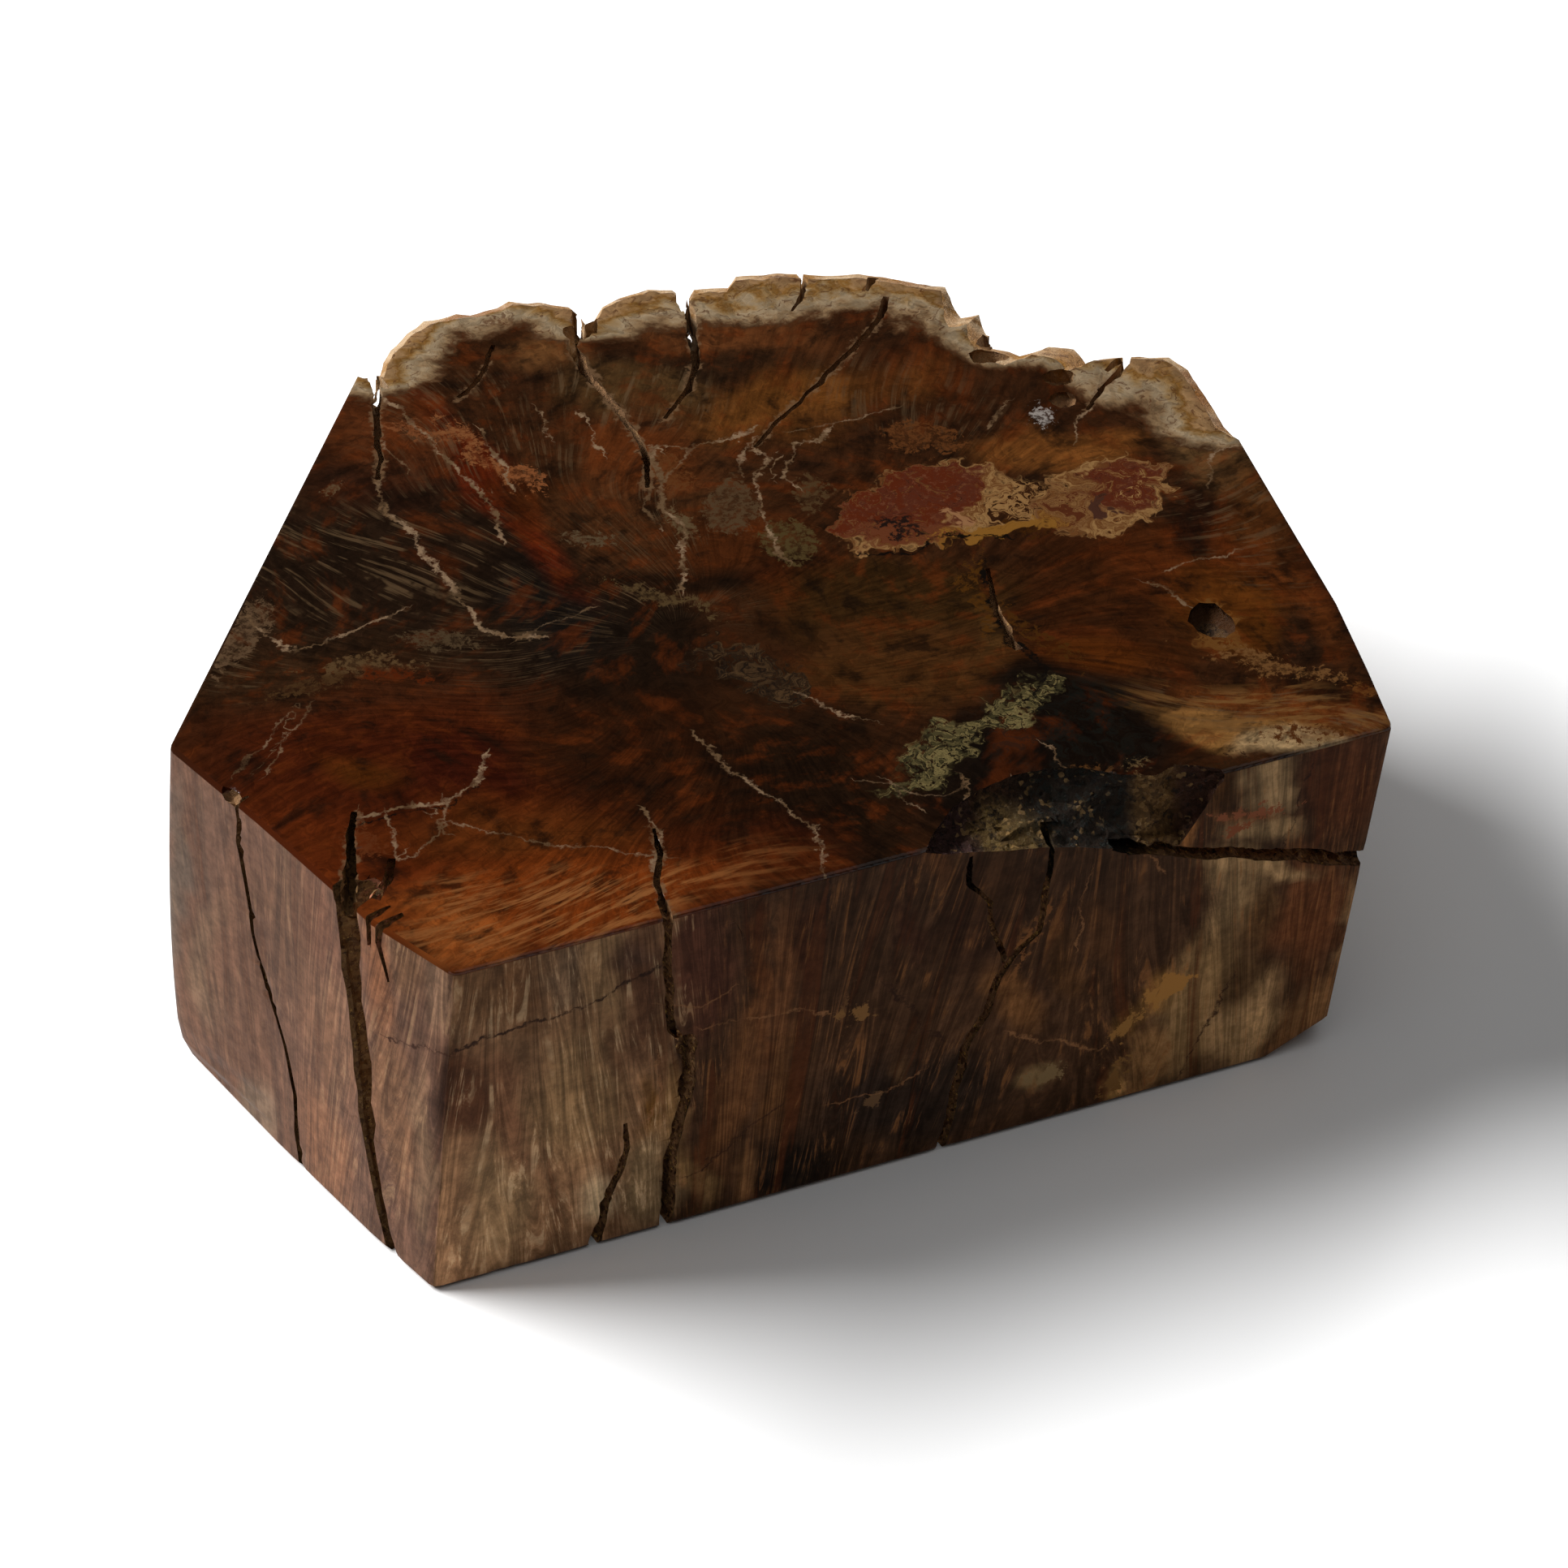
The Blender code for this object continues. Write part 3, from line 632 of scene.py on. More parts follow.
tree = None              # the node tree that the helpers below add to


def newPaint(name):
    # starts a finish: its place on the stone, whole and in parts
    global tree
    paint = bpy.data.materials.new(name)
    paint.use_nodes = True
    tree = paint.node_tree
    stone.data.materials.append(paint)
    place = stonePlace()
    return (place, *parts(place))


def endPaint(colour, roughness, level, relief, strength, distance=0.0006):
    shader = tree.nodes["Principled BSDF"]
    feed(shader.inputs["Base Color"], colour)
    feed(shader.inputs["Roughness"], roughness)
    shader.inputs["Specular IOR Level"].default_value = level
    bump = tree.nodes.new("ShaderNodeBump")
    bump.inputs["Strength"].default_value = strength
    bump.inputs["Distance"].default_value = distance
    feed(bump.inputs["Height"], relief)
    feed(shader.inputs["Normal"], bump.outputs[0])


def feed(socket, value):
    if isinstance(value, bpy.types.NodeSocket):
        tree.links.new(value, socket)
    elif value is not None:
        socket.default_value = value


def calc(operation, a, b=None, c=None):
    node = tree.nodes.new("ShaderNodeMath")
    node.operation = operation
    for socket, value in zip(node.inputs, (a, b, c)):
        feed(socket, value)
    return node.outputs[0]


def times(first, *others):
    for other in others:
        first = calc('MULTIPLY', first, other)
    return first


def largest(first, *others):
    for other in others:
        first = calc('MAXIMUM', first, other)
    return first


def vector(operation, a, b=None, scale=None):
    node = tree.nodes.new("ShaderNodeVectorMath")
    node.operation = operation
    feed(node.inputs[0], a)
    feed(node.inputs[1], b)
    feed(node.inputs[3], scale)
    return node.outputs["Value" if operation in ('LENGTH', 'DOT_PRODUCT') else "Vector"]


def parts(value):
    node = tree.nodes.new("ShaderNodeSeparateXYZ")
    feed(node.inputs[0], value)
    return node.outputs


def joined(x, y, z=0.0):
    node = tree.nodes.new("ShaderNodeCombineXYZ")
    for socket, value in zip(node.inputs, (x, y, z)):
        feed(socket, value)
    return node.outputs[0]


def reading(name, output):
    node = tree.nodes.new("ShaderNodeAttribute")
    node.attribute_name = name
    return node.outputs[output]


def stonePlace():
    # millimetres in the plan's own coordinates
    node = tree.nodes.new("ShaderNodeTexCoord")
    scaled = tree.nodes.new("ShaderNodeMapping")
    scaled.inputs["Scale"].default_value = (1 / mm, 1 / mm, 1 / mm)
    scaled.inputs["Location"].default_value = (0, planShift, 0)
    tree.links.new(node.outputs["Object"], scaled.inputs["Vector"])
    return scaled.outputs[0]


def cloud(place, size, detail=3.0, rough=0.55, output="Fac", space='2D'):
    # uneven value with features of about that size in millimetres
    node = tree.nodes.new("ShaderNodeTexNoise")
    node.noise_dimensions = space
    feed(node.inputs["Vector"], place)
    node.inputs["Scale"].default_value = 1.0 / size
    node.inputs["Detail"].default_value = detail
    node.inputs["Roughness"].default_value = rough
    return node.outputs[output]


def lump(place, size, detail=3.0, rough=0.55):
    # the same, but through the stone and not in one plane
    return cloud(place, size, detail, rough, space='3D')


def cells(place, size, feature='F1', output="Distance", space='2D'):
    node = tree.nodes.new("ShaderNodeTexVoronoi")
    node.voronoi_dimensions = space
    node.feature = feature
    feed(node.inputs["Vector"], place)
    node.inputs["Scale"].default_value = 1.0 / size
    return node.outputs[output]


def fade(value, low, high, least=0.0, most=1.0):
    # smooth step from least at low to most at high
    node = tree.nodes.new("ShaderNodeMapRange")
    node.interpolation_type = 'SMOOTHSTEP'
    for name, setting in (("Value", value), ("From Min", low), ("From Max", high),
                          ("To Min", least), ("To Max", most)):
        feed(node.inputs[name], setting)
    return node.outputs[0]


def blend(share, under, over, way='MIX'):
    node = tree.nodes.new("ShaderNodeMix")
    node.data_type = 'RGBA'
    node.blend_type = way
    feed(node.inputs[0], share)
    for socket, value in ((node.inputs[6], under), (node.inputs[7], over)):
        feed(socket, (*value, 1.0) if isinstance(value, tuple) else value)
    return node.outputs[2]


def asPlace(colour):
    node = tree.nodes.new("ShaderNodeSeparateColor")
    feed(node.inputs[0], colour)
    return joined(*node.outputs)


def wander(place, size, reach, detail=2.0):
    # the place moved about unevenly in the plane, so that shapes drawn on it get natural edges
    drift = vector('SUBTRACT', asPlace(cloud(place, size, detail, output="Color")), (0.5, 0.5, 0.5))
    return vector('ADD', place, vector('MULTIPLY', drift, (2.0 * reach, 2.0 * reach, 0.0)))


def spot(place, at, size, turn=0.0, soft=0.3):
    # 1 inside an oval, 0 outside it; the place's third coordinate is always 1
    turn = math.radians(turn)
    c, s = math.cos(turn), math.sin(turn)
    long = vector('DOT_PRODUCT', place, (c / size[0], s / size[0], -(at[0] * c + at[1] * s) / size[0]))
    wide = vector('DOT_PRODUCT', place, (-s / size[1], c / size[1], (at[0] * s - at[1] * c) / size[1]))
    square = calc('MULTIPLY_ADD', wide, wide, times(long, long))
    return fade(square, (1.0 + soft) ** 2, (1.0 - soft) ** 2)


def grainAlong(place, centre, fine, stretch):
    # coordinates that draw any pattern out along the rays from the centre
    away = vector('SUBTRACT', place, (*centre, 1))
    radius = vector('LENGTH', away)
    heading = vector('SCALE', vector('NORMALIZE', away), scale=fine)
    return vector('ADD', heading, joined(0.0, 0.0, times(radius, 1.0 / stretch)))


def unevenness(place):
    # what makes drawn lines ragged, of changing width, and broken in places
    ragged = calc('SUBTRACT', cloud(place, 1.3, 3.0, 0.6), 0.5)
    swell = fade(cloud(place, 4.5, 2.0), 0.35, 0.65, 0.35, 1.35)
    whole = fade(cloud(place, 3.0, 3.0, 0.65), 0.36, 0.52, 0.4, 1.0)
    return ragged, swell, whole


def lineShare(name, uneven, spread=2.4, blur=0.3):
    # 1 on the lines of a field
    ragged, swell, whole = uneven
    signed, far, half = parts(reading(name, "Vector"))
    across = calc('ABSOLUTE', calc('MULTIPLY_ADD', ragged, spread, signed))
    edge = calc('SUBTRACT', across, times(half, swell))
    return times(fade(edge, blur, -blur), whole, fade(far, 2.6, 1.8))


def dimmed(colour, level):
    # the colour made darker or lighter by a value
    node = tree.nodes.new("ShaderNodeCombineColor")
    for socket in node.inputs:
        feed(socket, level)
    return blend(1.0, colour, node.outputs[0], 'MULTIPLY')


topLight = 2.1           # light on the top, beside the colour seen in the photograph


def lit(look):
    return tone(look, topLight)


# Wide soft zones of the polished top, drawn one over the other: place, half sizes, turn, look, edge and
# strength
topZones = {
    "brownUpperLeft": ((-62, 8), (45, 40), -60, (34, 22, 13), 0.4, 0.9),
    "oliveBrownLeft": ((-88, -12), (31, 14), -24, (50, 30, 15), 0.5, 0.8),
    "redBrownBack": ((-51, 47), (21, 9), -26, (46, 23, 12), 0.6, 0.8),
    "rustFarLeft": ((-45, 66), (20, 12), -69, (92, 46, 20), 0.5, 0.7),
    "rustLow": ((-70, -66), (56, 36), -33, (86, 34, 9), 0.4, 0.95),
    "rustBand": ((-76, -43), (44, 15), -24, (61, 22, 5), 0.5, 0.8),
    "redPatchLow": ((-66, -47), (17, 9), -23, (54, 17, 4), 0.6, 0.8),
    "redBrownMid": ((-33, -56), (26, 21), -80, (42, 21, 8), 0.4, 0.9),
    "nearBlackCentre": ((-29, -14), (30, 18), -73, (28, 17, 9), 0.4, 0.95),
    "violetDark": ((-34, -6), (19, 12), 81, (25, 20, 16), 0.6, 0.8),
    "midRust": ((-1, 28), (32, 22), 72, (74, 42, 20), 0.5, 0.9),
    "midOrange": ((0, 33), (13, 11), -27, (94, 45, 16), 0.6, 0.8),
    "tanOlive": ((34, 41), (18, 11), 6, (104, 61, 23), 0.5, 0.9),
    "orangeMid": ((8, 0), (14, 10), -2, (70, 33, 11), 0.5, 0.9),
    "darkStreak": ((-6, -9), (27, 4), -23, (30, 16, 7), 0.6, 0.85),
    "redCentre": ((16, -20), (10, 9), -73, (66, 27, 7), 0.5, 0.9),
    "oliveFlecks": ((31, -28), (23, 12), -14, (54, 33, 12), 0.4, 0.95),
    "smoothTan": ((26, -52), (22, 15), -9, (72, 42, 17), 0.35, 0.95),
    "paleTan": ((44, -43), (8, 3), 81, (86, 58, 27), 0.8, 0.8),
    "orangeBrown": ((66, -46), (25, 18), 67, (56, 27, 9), 0.4, 0.9),
    "rustMidRight": ((96, -46), (26, 17), -47, (78, 36, 11), 0.4, 0.95),
    "orangeBandRight": ((60, -62), (14, 6), -17, (86, 41, 9), 0.5, 0.9),
    "oliveAroundVug": ((92, -60), (15, 12), -83, (90, 48, 12), 0.5, 0.8),
    "darkViolet": ((101, -72), (12, 6), 82, (40, 24, 13), 0.5, 0.85),
    "rightSmudge": ((98, -28), (15, 5), 63, (32, 15, 6), 0.5, 0.9),
    "darkBottom": ((-8, -82), (26, 17), 72, (26, 15, 6), 0.5, 0.9),
    "rustBottom": ((-24, -93), (13, 8), -16, (54, 21, 6), 0.6, 0.8),
    "lowRight": ((84, -90), (22, 9), -26, (100, 52, 20), 0.4, 0.95),
    "underStreakDark": ((97, -88), (17, 2.5), -34, (36, 17, 6), 0.7, 0.8),
    "olivePatch": ((-63, -71), (24, 8), -28, (84, 42, 13), 0.6, 0.85),
    "oliveLeft": ((-84, -41), (7, 4), -35, (78, 40, 8), 0.8, 0.7),
    "orangeLow": ((-66, -90), (39, 12), -12, (112, 50, 14), 0.5, 0.9),
    "orangeCorner": ((-86, -94), (16, 6), -61, (140, 74, 30), 0.6, 0.85),
    "orangeBand": ((-31, 36), (36, 5), -84, (88, 28, 6), 0.5, 0.9),
    "oliveYellow": ((-27, 28), (9, 4), 72, (56, 27, 5), 0.8, 0.8),
    "redUnderRim": ((35, 68), (18, 8), -35, (96, 54, 26), 0.5, 0.9),
    "darkArc": ((22, 62), (27, 5), -25, (44, 26, 13), 0.6, 0.9),
    "darkArcLeft": ((-11, 72), (12, 7), -23, (52, 28, 13), 0.6, 0.9),
    "cloudBack": ((-8, 80), (9, 6), -45, (116, 75, 40), 0.7, 0.8),
    "greyTanBack": ((7, 58), (15, 8), -35, (82, 58, 31), 0.5, 0.8),
    "tanWisp": ((64, 39), (11, 8), 8, (94, 52, 20), 0.6, 0.8),
    "tanBetween": ((84, 5), (16, 7), -15, (122, 72, 30), 0.5, 0.85),
    "greyTanRight": ((113, -3), (22, 8), 82, (104, 74, 43), 0.4, 0.9),
    "ochreRight": ((112, -28), (18, 8), 87, (82, 46, 18), 0.5, 0.85),
    "rustEdgeRight": ((110, -58), (20, 4), 87, (94, 48, 18), 0.7, 0.8),
    "blackBlue": ((40, -86), (29, 15), 9, (20, 13, 8), 0.3, 0.97),
    "blackBlueUp": ((47, -65), (9, 8), 20, (20, 14, 9), 0.4, 0.95),
    "creamFront": ((77, -94.5), (14, 6.5), -30, (136, 94, 48), 0.25, 0.92),
    "whiteFront": ((83, -100.5), (11, 4.0), -14, (168, 138, 98), 0.35, 0.9),
}

# Groups of fine pale wisps along the rays: place, half sizes, turn, strength
wispAreas = {
    "left": ((-66, 22), (34, 20), -33, 1.0),
    "leftInner": ((-45, 24), (21, 12), -60, 0.9),
    "upper": ((-30, 58), (22, 17), -75, 0.8),
    "back": ((5, 58), (19, 11), -48, 1.0),
    "centre": ((-6, 14), (19, 12), 87, 0.6),
    "middle": ((-13, -14), (19, 6), -30, 1.0),
    "low": ((-43, -17), (20, 13), 3, 0.7),
    "farLeft": ((-97, 4), (16, 8), 68, 0.9),
    "right": ((106, -36), (22, 12), -80, 0.7),
    "backRight": ((60, 32), (22, 14), -48, 0.6),
    "frontRight": ((85, -91), (24, 8), -28, 0.9),
}

# Drawn-out streaks at the front and a blue-black mottle: the same values
flowAreas = {
    "leftFlow": (((-60, -95), (36, 8), -4, 1.0), ((-82, -90), (10, 14), 20, 0.8)),
    "rightFlow": (((86, -91), (26, 8), -28, 1.0),),
    "blueMottle": (((46, -80), (16, 12), -18, 1.0),),
}

# Small pale, grey and coloured patches with torn edges: place, half sizes, turn, look
topPatches = {
    "smearOne": ((-75.6, -11.6), (9, 2.6), -15, (92, 68, 42)),
    "smearTwo": ((-87.3, -13.5), (8, 2.2), -2, (74, 50, 27)),
    "smearThree": ((-58.8, -9.4), (7.6, 1.8), -30, (80, 62, 42)),
    "smearFour": ((-20.2, 13.0), (5.4, 2.4), -41, (92, 74, 52)),
    "smearFive": ((-13, -12.5), (11, 1.9), -46, (86, 66, 40)),
    "whiteEdge": ((-96, 7), (11, 3.4), 54, (98, 74, 52)),
    "redSpot": ((-72, -15), (7, 2.0), -35, (86, 34, 10)),
    "circle": ((-64.4, 47.5), (2.2, 2.2), 0, (96, 74, 50)),
    "greyOne": ((10.6, 11.9), (8.3, 4.6), 70, (86, 64, 42)),
    "greyTwo": ((17.6, -3.6), (6.4, 5.2), 82, (82, 65, 36)),
    "greyThree": ((29.0, 9.0), (5.2, 3.2), 76, (82, 60, 36)),
    "greyFour": ((-1.0, 9.0), (2.4, 5.5), 0, (98, 78, 52)),
    "orangeHot": ((-31, 50), (13, 2.4), -74, (136, 84, 48)),
    "orangeHotTwo": ((-40, 60), (7, 2.0), -50, (124, 72, 40)),
    "orangeHotThree": ((-27, 40), (8, 2.2), -60, (138, 82, 46)),
    "netGlow": ((3, 30), (5, 8), 0, (100, 58, 28)),
    "ochreLine": ((48.4, -33), (10, 1.3), 74, (84, 50, 14)),
    "ochreLineTwo": ((52.4, -48.3), (11, 1.8), -72, (76, 44, 13)),
    "ochreArc": ((64, -17), (6, 3.0), -10, (66, 36, 9)),
    "tanHill": ((42.3, -94.0), (5.0, 1.8), -10, (92, 58, 28)),
    "creamRing": ((54.6, -96.3), (1.9, 1.6), 65, (112, 88, 56)),
    "streakFromVug": ((94, -79.5), (14, 2.4), -45, (118, 80, 44)),
    "streakTail": ((106, -91), (8, 1.6), -40, (104, 62, 26)),
    "darkBlob": ((70.9, -101.6), (5.0, 2.6), -19, (50, 30, 14)),
    "rustBlob": ((90, -99.5), (7, 1.6), -16, (84, 46, 18)),
    "whiteSpot": ((84.9, 18.7), (4.0, 2.2), 80, (166, 156, 148)),
    "tornTan": ((57.3, 19.8), (8, 5.0), -38, (100, 58, 28)),
    "redTan": ((-92, -62), (5, 3), -60, (96, 48, 22)),
}


# How thick the pale rind is, and where it is thicker: by how much, place, half sizes, turn, edge
thick = np.full(len(places), 10.0)
for more, *oval in ((9.0, (70, 72), (34, 26), -35, 0.35), (9.0, (112, 16), (24, 16), -56, 0.35),
                    (5.0, (-18, 92), (26, 16), -6, 0.35), (7.0, (34, 90), (30, 22), -12, 0.4)):
    thick += more * ovalShare(onPlan, *oval)
numberField("rind", rimDistance(wiggled(onPlan, 16.0, 3.0)) / thick)


def rindColours(depth, under, mottle, hue, flecks):
    # bands that follow the bark: tan, ochre and grey-white, over the colour below
    share = calc('ADD', depth, calc('MULTIPLY_ADD', hue, 0.9, -0.5))
    bands = tree.nodes.new("ShaderNodeValToRGB")
    feed(bands.inputs[0], share)
    marks = ((0.0, (146, 108, 72)), (0.2, (160, 124, 84)), (0.32, (130, 90, 40)), (0.42, (154, 122, 80)),
             (0.56, (166, 144, 114)), (0.74, (142, 114, 82)), (0.9, (80, 52, 30)))
    ramp = bands.color_ramp
    while len(ramp.elements) < len(marks):
        ramp.elements.new(0.5)
    for element, (position, look) in zip(ramp.elements, marks):
        element.position = position
        element.color = (*lit(look), 1)
    mottled = dimmed(bands.outputs[0], fade(mottle, 0.32, 0.68, 0.7, 1.25))
    specks = fade(flecks, 0.55, 0.66, 0.0, 0.75)
    specked = blend(specks, mottled, lit((88, 50, 26)))
    shown = fade(share, 1.04, 0.9)
    return blend(shown, under, specked), shown


def drawJasper(colour, torn, mottle, speckle, flecks):
    # two brick-red jasper bodies with cream rims, ochre seams and dark cracks
    rim = blend(fade(flecks, 0.4, 0.58), lit((112, 70, 36)), lit((158, 118, 72)))
    body = spot(torn, (48, -2.5), (20, 12.5), 14, 0.04)
    second = spot(torn, (85.5, -13.5), (16, 11.0), 30, 0.05)
    bridge = times(spot(torn, (67, -9.0), (9, 9.0), 0, 0.2), fade(flecks, 0.42, 0.5))
    whole = largest(body, second, bridge)
    colour = blend(whole, colour, rim)
    redTone = blend(fade(mottle, 0.42, 0.6), lit((94, 38, 17)), lit((90, 43, 27)))
    redTone = blend(fade(speckle, 0.54, 0.68, 0.0, 0.7), redTone, lit((120, 72, 48)))
    # ochre, red, low red, the second body and its edge, purple, pale spot, and a dark spot that is
    # painted shade for a small hole
    for at, size, angle, edge, gaps, look in (
            ((58, -15.0), (15, 2.8), -12, 0.2, None, lit((142, 96, 38))),
            ((46.5, -0.8), (18.2, 10.2), 15, 0.05, (flecks, 0.34, 0.4), redTone),
            ((41, -10.0), (11, 4.0), -14, 0.2, (flecks, 0.38, 0.5), lit((108, 58, 34))),
            ((89.5, -11.5), (10.5, 7.6), 28, 0.2, (mottle, 0.38, 0.46), redTone),
            ((78, -14.0), (9, 6.5), 20, 0.4, (flecks, 0.5, 0.55), lit((92, 46, 24))),
            ((82.4, -17.6), (4.0, 2.2), 69, 0.2, None, lit((76, 46, 34))),
            ((52.8, -7.6), (3.2, 1.9), -48, 0.3, None, lit((158, 112, 74))),
            # painted shade: a small hole drawn as a dark spot on the polished top
            ((41.2, -7.2), (5.6, 2.4), -40, 0.3, (speckle, 0.42, 0.5), lit((34, 22, 18)))):
        share = spot(torn, at, size, angle, edge)
        if gaps:
            share = times(share, fade(*gaps))
        colour = blend(share, colour, look)
    cracks = fade(cells(torn, 6.5, 'DISTANCE_TO_EDGE'), 0.03, 0.0)
    cracks = times(cracks, whole, fade(mottle, 0.42, 0.56), 0.8)
    return blend(cracks, colour, lit((52, 27, 15)))


def drawGold(colour, torn, speckle, flecks):
    # crystalline gold band in the black zone
    pieces = (((46, -67), (5.6, 2.4), 48), ((38, -70.6), (7.0, 4.2), 14), ((28, -72.8), (9.0, 2.9), 8),
              ((17.5, -79.0), (9.5, 5.0), 34), ((12.8, -84.6), (6.6, 3.4), -8))
    band = largest(*(spot(torn, *piece, 0.25) for piece in pieces))
    light = parts(asPlace(cells(torn, 1.1, 'F1', "Color")))[0]
    gold = blend(fade(light, 0.2, 0.95), lit((30, 25, 14)), lit((142, 124, 78)))
    gold = blend(fade(speckle, 0.42, 0.62, 0.0, 0.7), gold, lit((74, 66, 38)))
    share = times(band, fade(speckle, 0.34, 0.5))
    return blend(share, colour, gold), share


def drawKnot(colour, torn, uneven):
    # grey-brown crackled knot near the pith
    knot = largest(spot(torn, (-3.5, -41.5), (10.5, 5.6), -68, 0.12),
                   spot(torn, (-10.0, -33.0), (5.0, 2.6), -20, 0.2),
                   spot(torn, (-0.5, -50.0), (4.6, 3.0), 60, 0.2))
    knot = times(knot, fade(uneven, 0.36, 0.44))
    skin = blend(fade(uneven, 0.42, 0.66), lit((36, 23, 12)), lit((80, 57, 34)))
    skin = blend(fade(cells(torn, 2.6, 'DISTANCE_TO_EDGE'), 0.12, 0.0), skin, lit((28, 18, 11)))
    return blend(knot, colour, skin), knot


wholeTop = wiggled(onPlan, 24.0, 7.0)
paintZones("topTone", wholeTop, [(*zone[:3], lit(zone[3]), *zone[4:]) for zone in topZones.values()],
           lit((54, 29, 13)))
paintPatches("topPatch", wiggled(onPlan, 9.0, 3.0),
             [(*patch[:3], lit(patch[3])) for patch in topPatches.values()])
numberField("wispArea", areaShare(wholeTop, wispAreas.values()))
for name, areas in flowAreas.items():
    numberField(name, areaShare(wholeTop, areas))


def flowShare(place, turn, name):
    # drawn-out streaks in an area that an attribute gives
    drawn = tree.nodes.new("ShaderNodeMapping")
    drawn.vector_type = 'TEXTURE'
    feed(drawn.inputs["Vector"], place)
    drawn.inputs["Rotation"].default_value = (0, 0, math.radians(turn))
    drawn.inputs["Scale"].default_value = (15, 2.0, 1)
    streak = fade(cloud(drawn.outputs[0], 1.0, 4.0, 0.66), 0.44, 0.66)
    return times(streak, reading(name, "Fac"), 0.85)


def polishedTop():
    place, x, y, z = newPaint("polishedTop")
    flat = joined(x, y, 1.0)
    torn = wander(wander(flat, 7, 6.5), 2.0, 2.4)
    drift = wander(flat, 50, 16, 0.0)
    colour = reading("topTone", "Color")
    hue = cloud(drift, 9, 4.0, 0.62)
    colour = blend(fade(hue, 0.5, 0.72, 0, 0.5), colour, lit((96, 42, 12)))
    colour = blend(fade(hue, 0.48, 0.3, 0, 0.7), colour, lit((24, 14, 7)))
    radius = vector('LENGTH', vector('SUBTRACT', flat, (*pith, 1)))
    grain = lump(grainAlong(drift, pith, 44.0, 12.0), 1.0, 4.0, 0.66)
    streaky = dimmed(colour, fade(grain, 0.32, 0.68, 0.72, 1.3))
    colour = blend(fade(radius, 6.0, 40.0), colour, streaky)
    mottle = cloud(torn, 4.0, 5.0, 0.7)
    colour = dimmed(colour, fade(mottle, 0.32, 0.68, 0.74, 1.28))

    # fine pale wisps along the rays
    wisp = lump(grainAlong(drift, pith, 85.0, 17.0), 1.0, 4.0, 0.66)
    wisp = fade(wisp, 0.5, 0.62)
    gaps = fade(cloud(flat, 8.0, 3.0, 0.6), 0.4, 0.54)
    wisps = times(wisp, gaps, reading("wispArea", "Fac"))
    colour = blend(times(wisps, 0.6), colour, lit((106, 82, 56)))
    colour = blend(flowShare(drift, 4, "leftFlow"), colour, lit((158, 100, 54)))
    colour = blend(flowShare(drift, -28, "rightFlow"), colour, lit((130, 90, 48)))

    # small patches with torn edges
    speckle = cloud(flat, 1.5, 4.0, 0.72)
    shift = calc('ADD', calc('MULTIPLY_ADD', mottle, 8.0, -4.0), calc('MULTIPLY_ADD', speckle, 5.0, -2.5))
    inside = fade(calc('ADD', reading("topPatch", "Alpha"), shift), -0.35, 0.6)
    thin = fade(calc('ADD', speckle, times(mottle, 0.5)), 0.66, 0.86, 0.22, 1.0)
    colour = blend(times(inside, thin), colour, reading("topPatch", "Color"))
    blue = times(reading("blueMottle", "Fac"), fade(mottle, 0.46, 0.58))
    colour = blend(times(blue, 0.7), colour, lit((22, 23, 19)))
    flecks = cloud(torn, 2.4, 4.0, 0.7)
    colour = drawJasper(colour, torn, mottle, speckle, flecks)
    colour, gold = drawGold(colour, torn, speckle, flecks)
    colour, knot = drawKnot(colour, torn, flecks)

    # ochre rim round the sparkling hole
    hole = spot(torn, (87.8, -60.6), (8.0, 5.0), 86, 0.15)
    colour = blend(times(hole, fade(flecks, 0.36, 0.5)), colour, lit((112, 72, 32)))

    colour, rind = rindColours(reading("rind", "Fac"), colour, mottle, hue, flecks)
    uneven = unevenness(flat)
    rims = lineShare("crackRims", uneven, 3.0, 0.5)
    colour = blend(times(rims, 0.75), colour, lit((122, 92, 64)))
    colour = blend(lineShare("darkVeins", uneven), colour, lit((18, 12, 8)))
    veinTone = blend(fade(hue, 0.4, 0.6), lit((110, 84, 58)), lit((152, 124, 96)))
    colour = blend(lineShare("paleVeins", uneven), colour, veinTone)
    colour = blend(times(lineShare("paleTwigs", uneven, 2.0), 0.8), colour, veinTone)
    dull = largest(gold, knot, rind, times(wisps, 0.5))
    endPaint(colour, fade(dull, 0.0, 1.0, 0.14, 0.3), 0.15, cloud(flat, 0.9, 1.0), 0.04)


polishedTop()

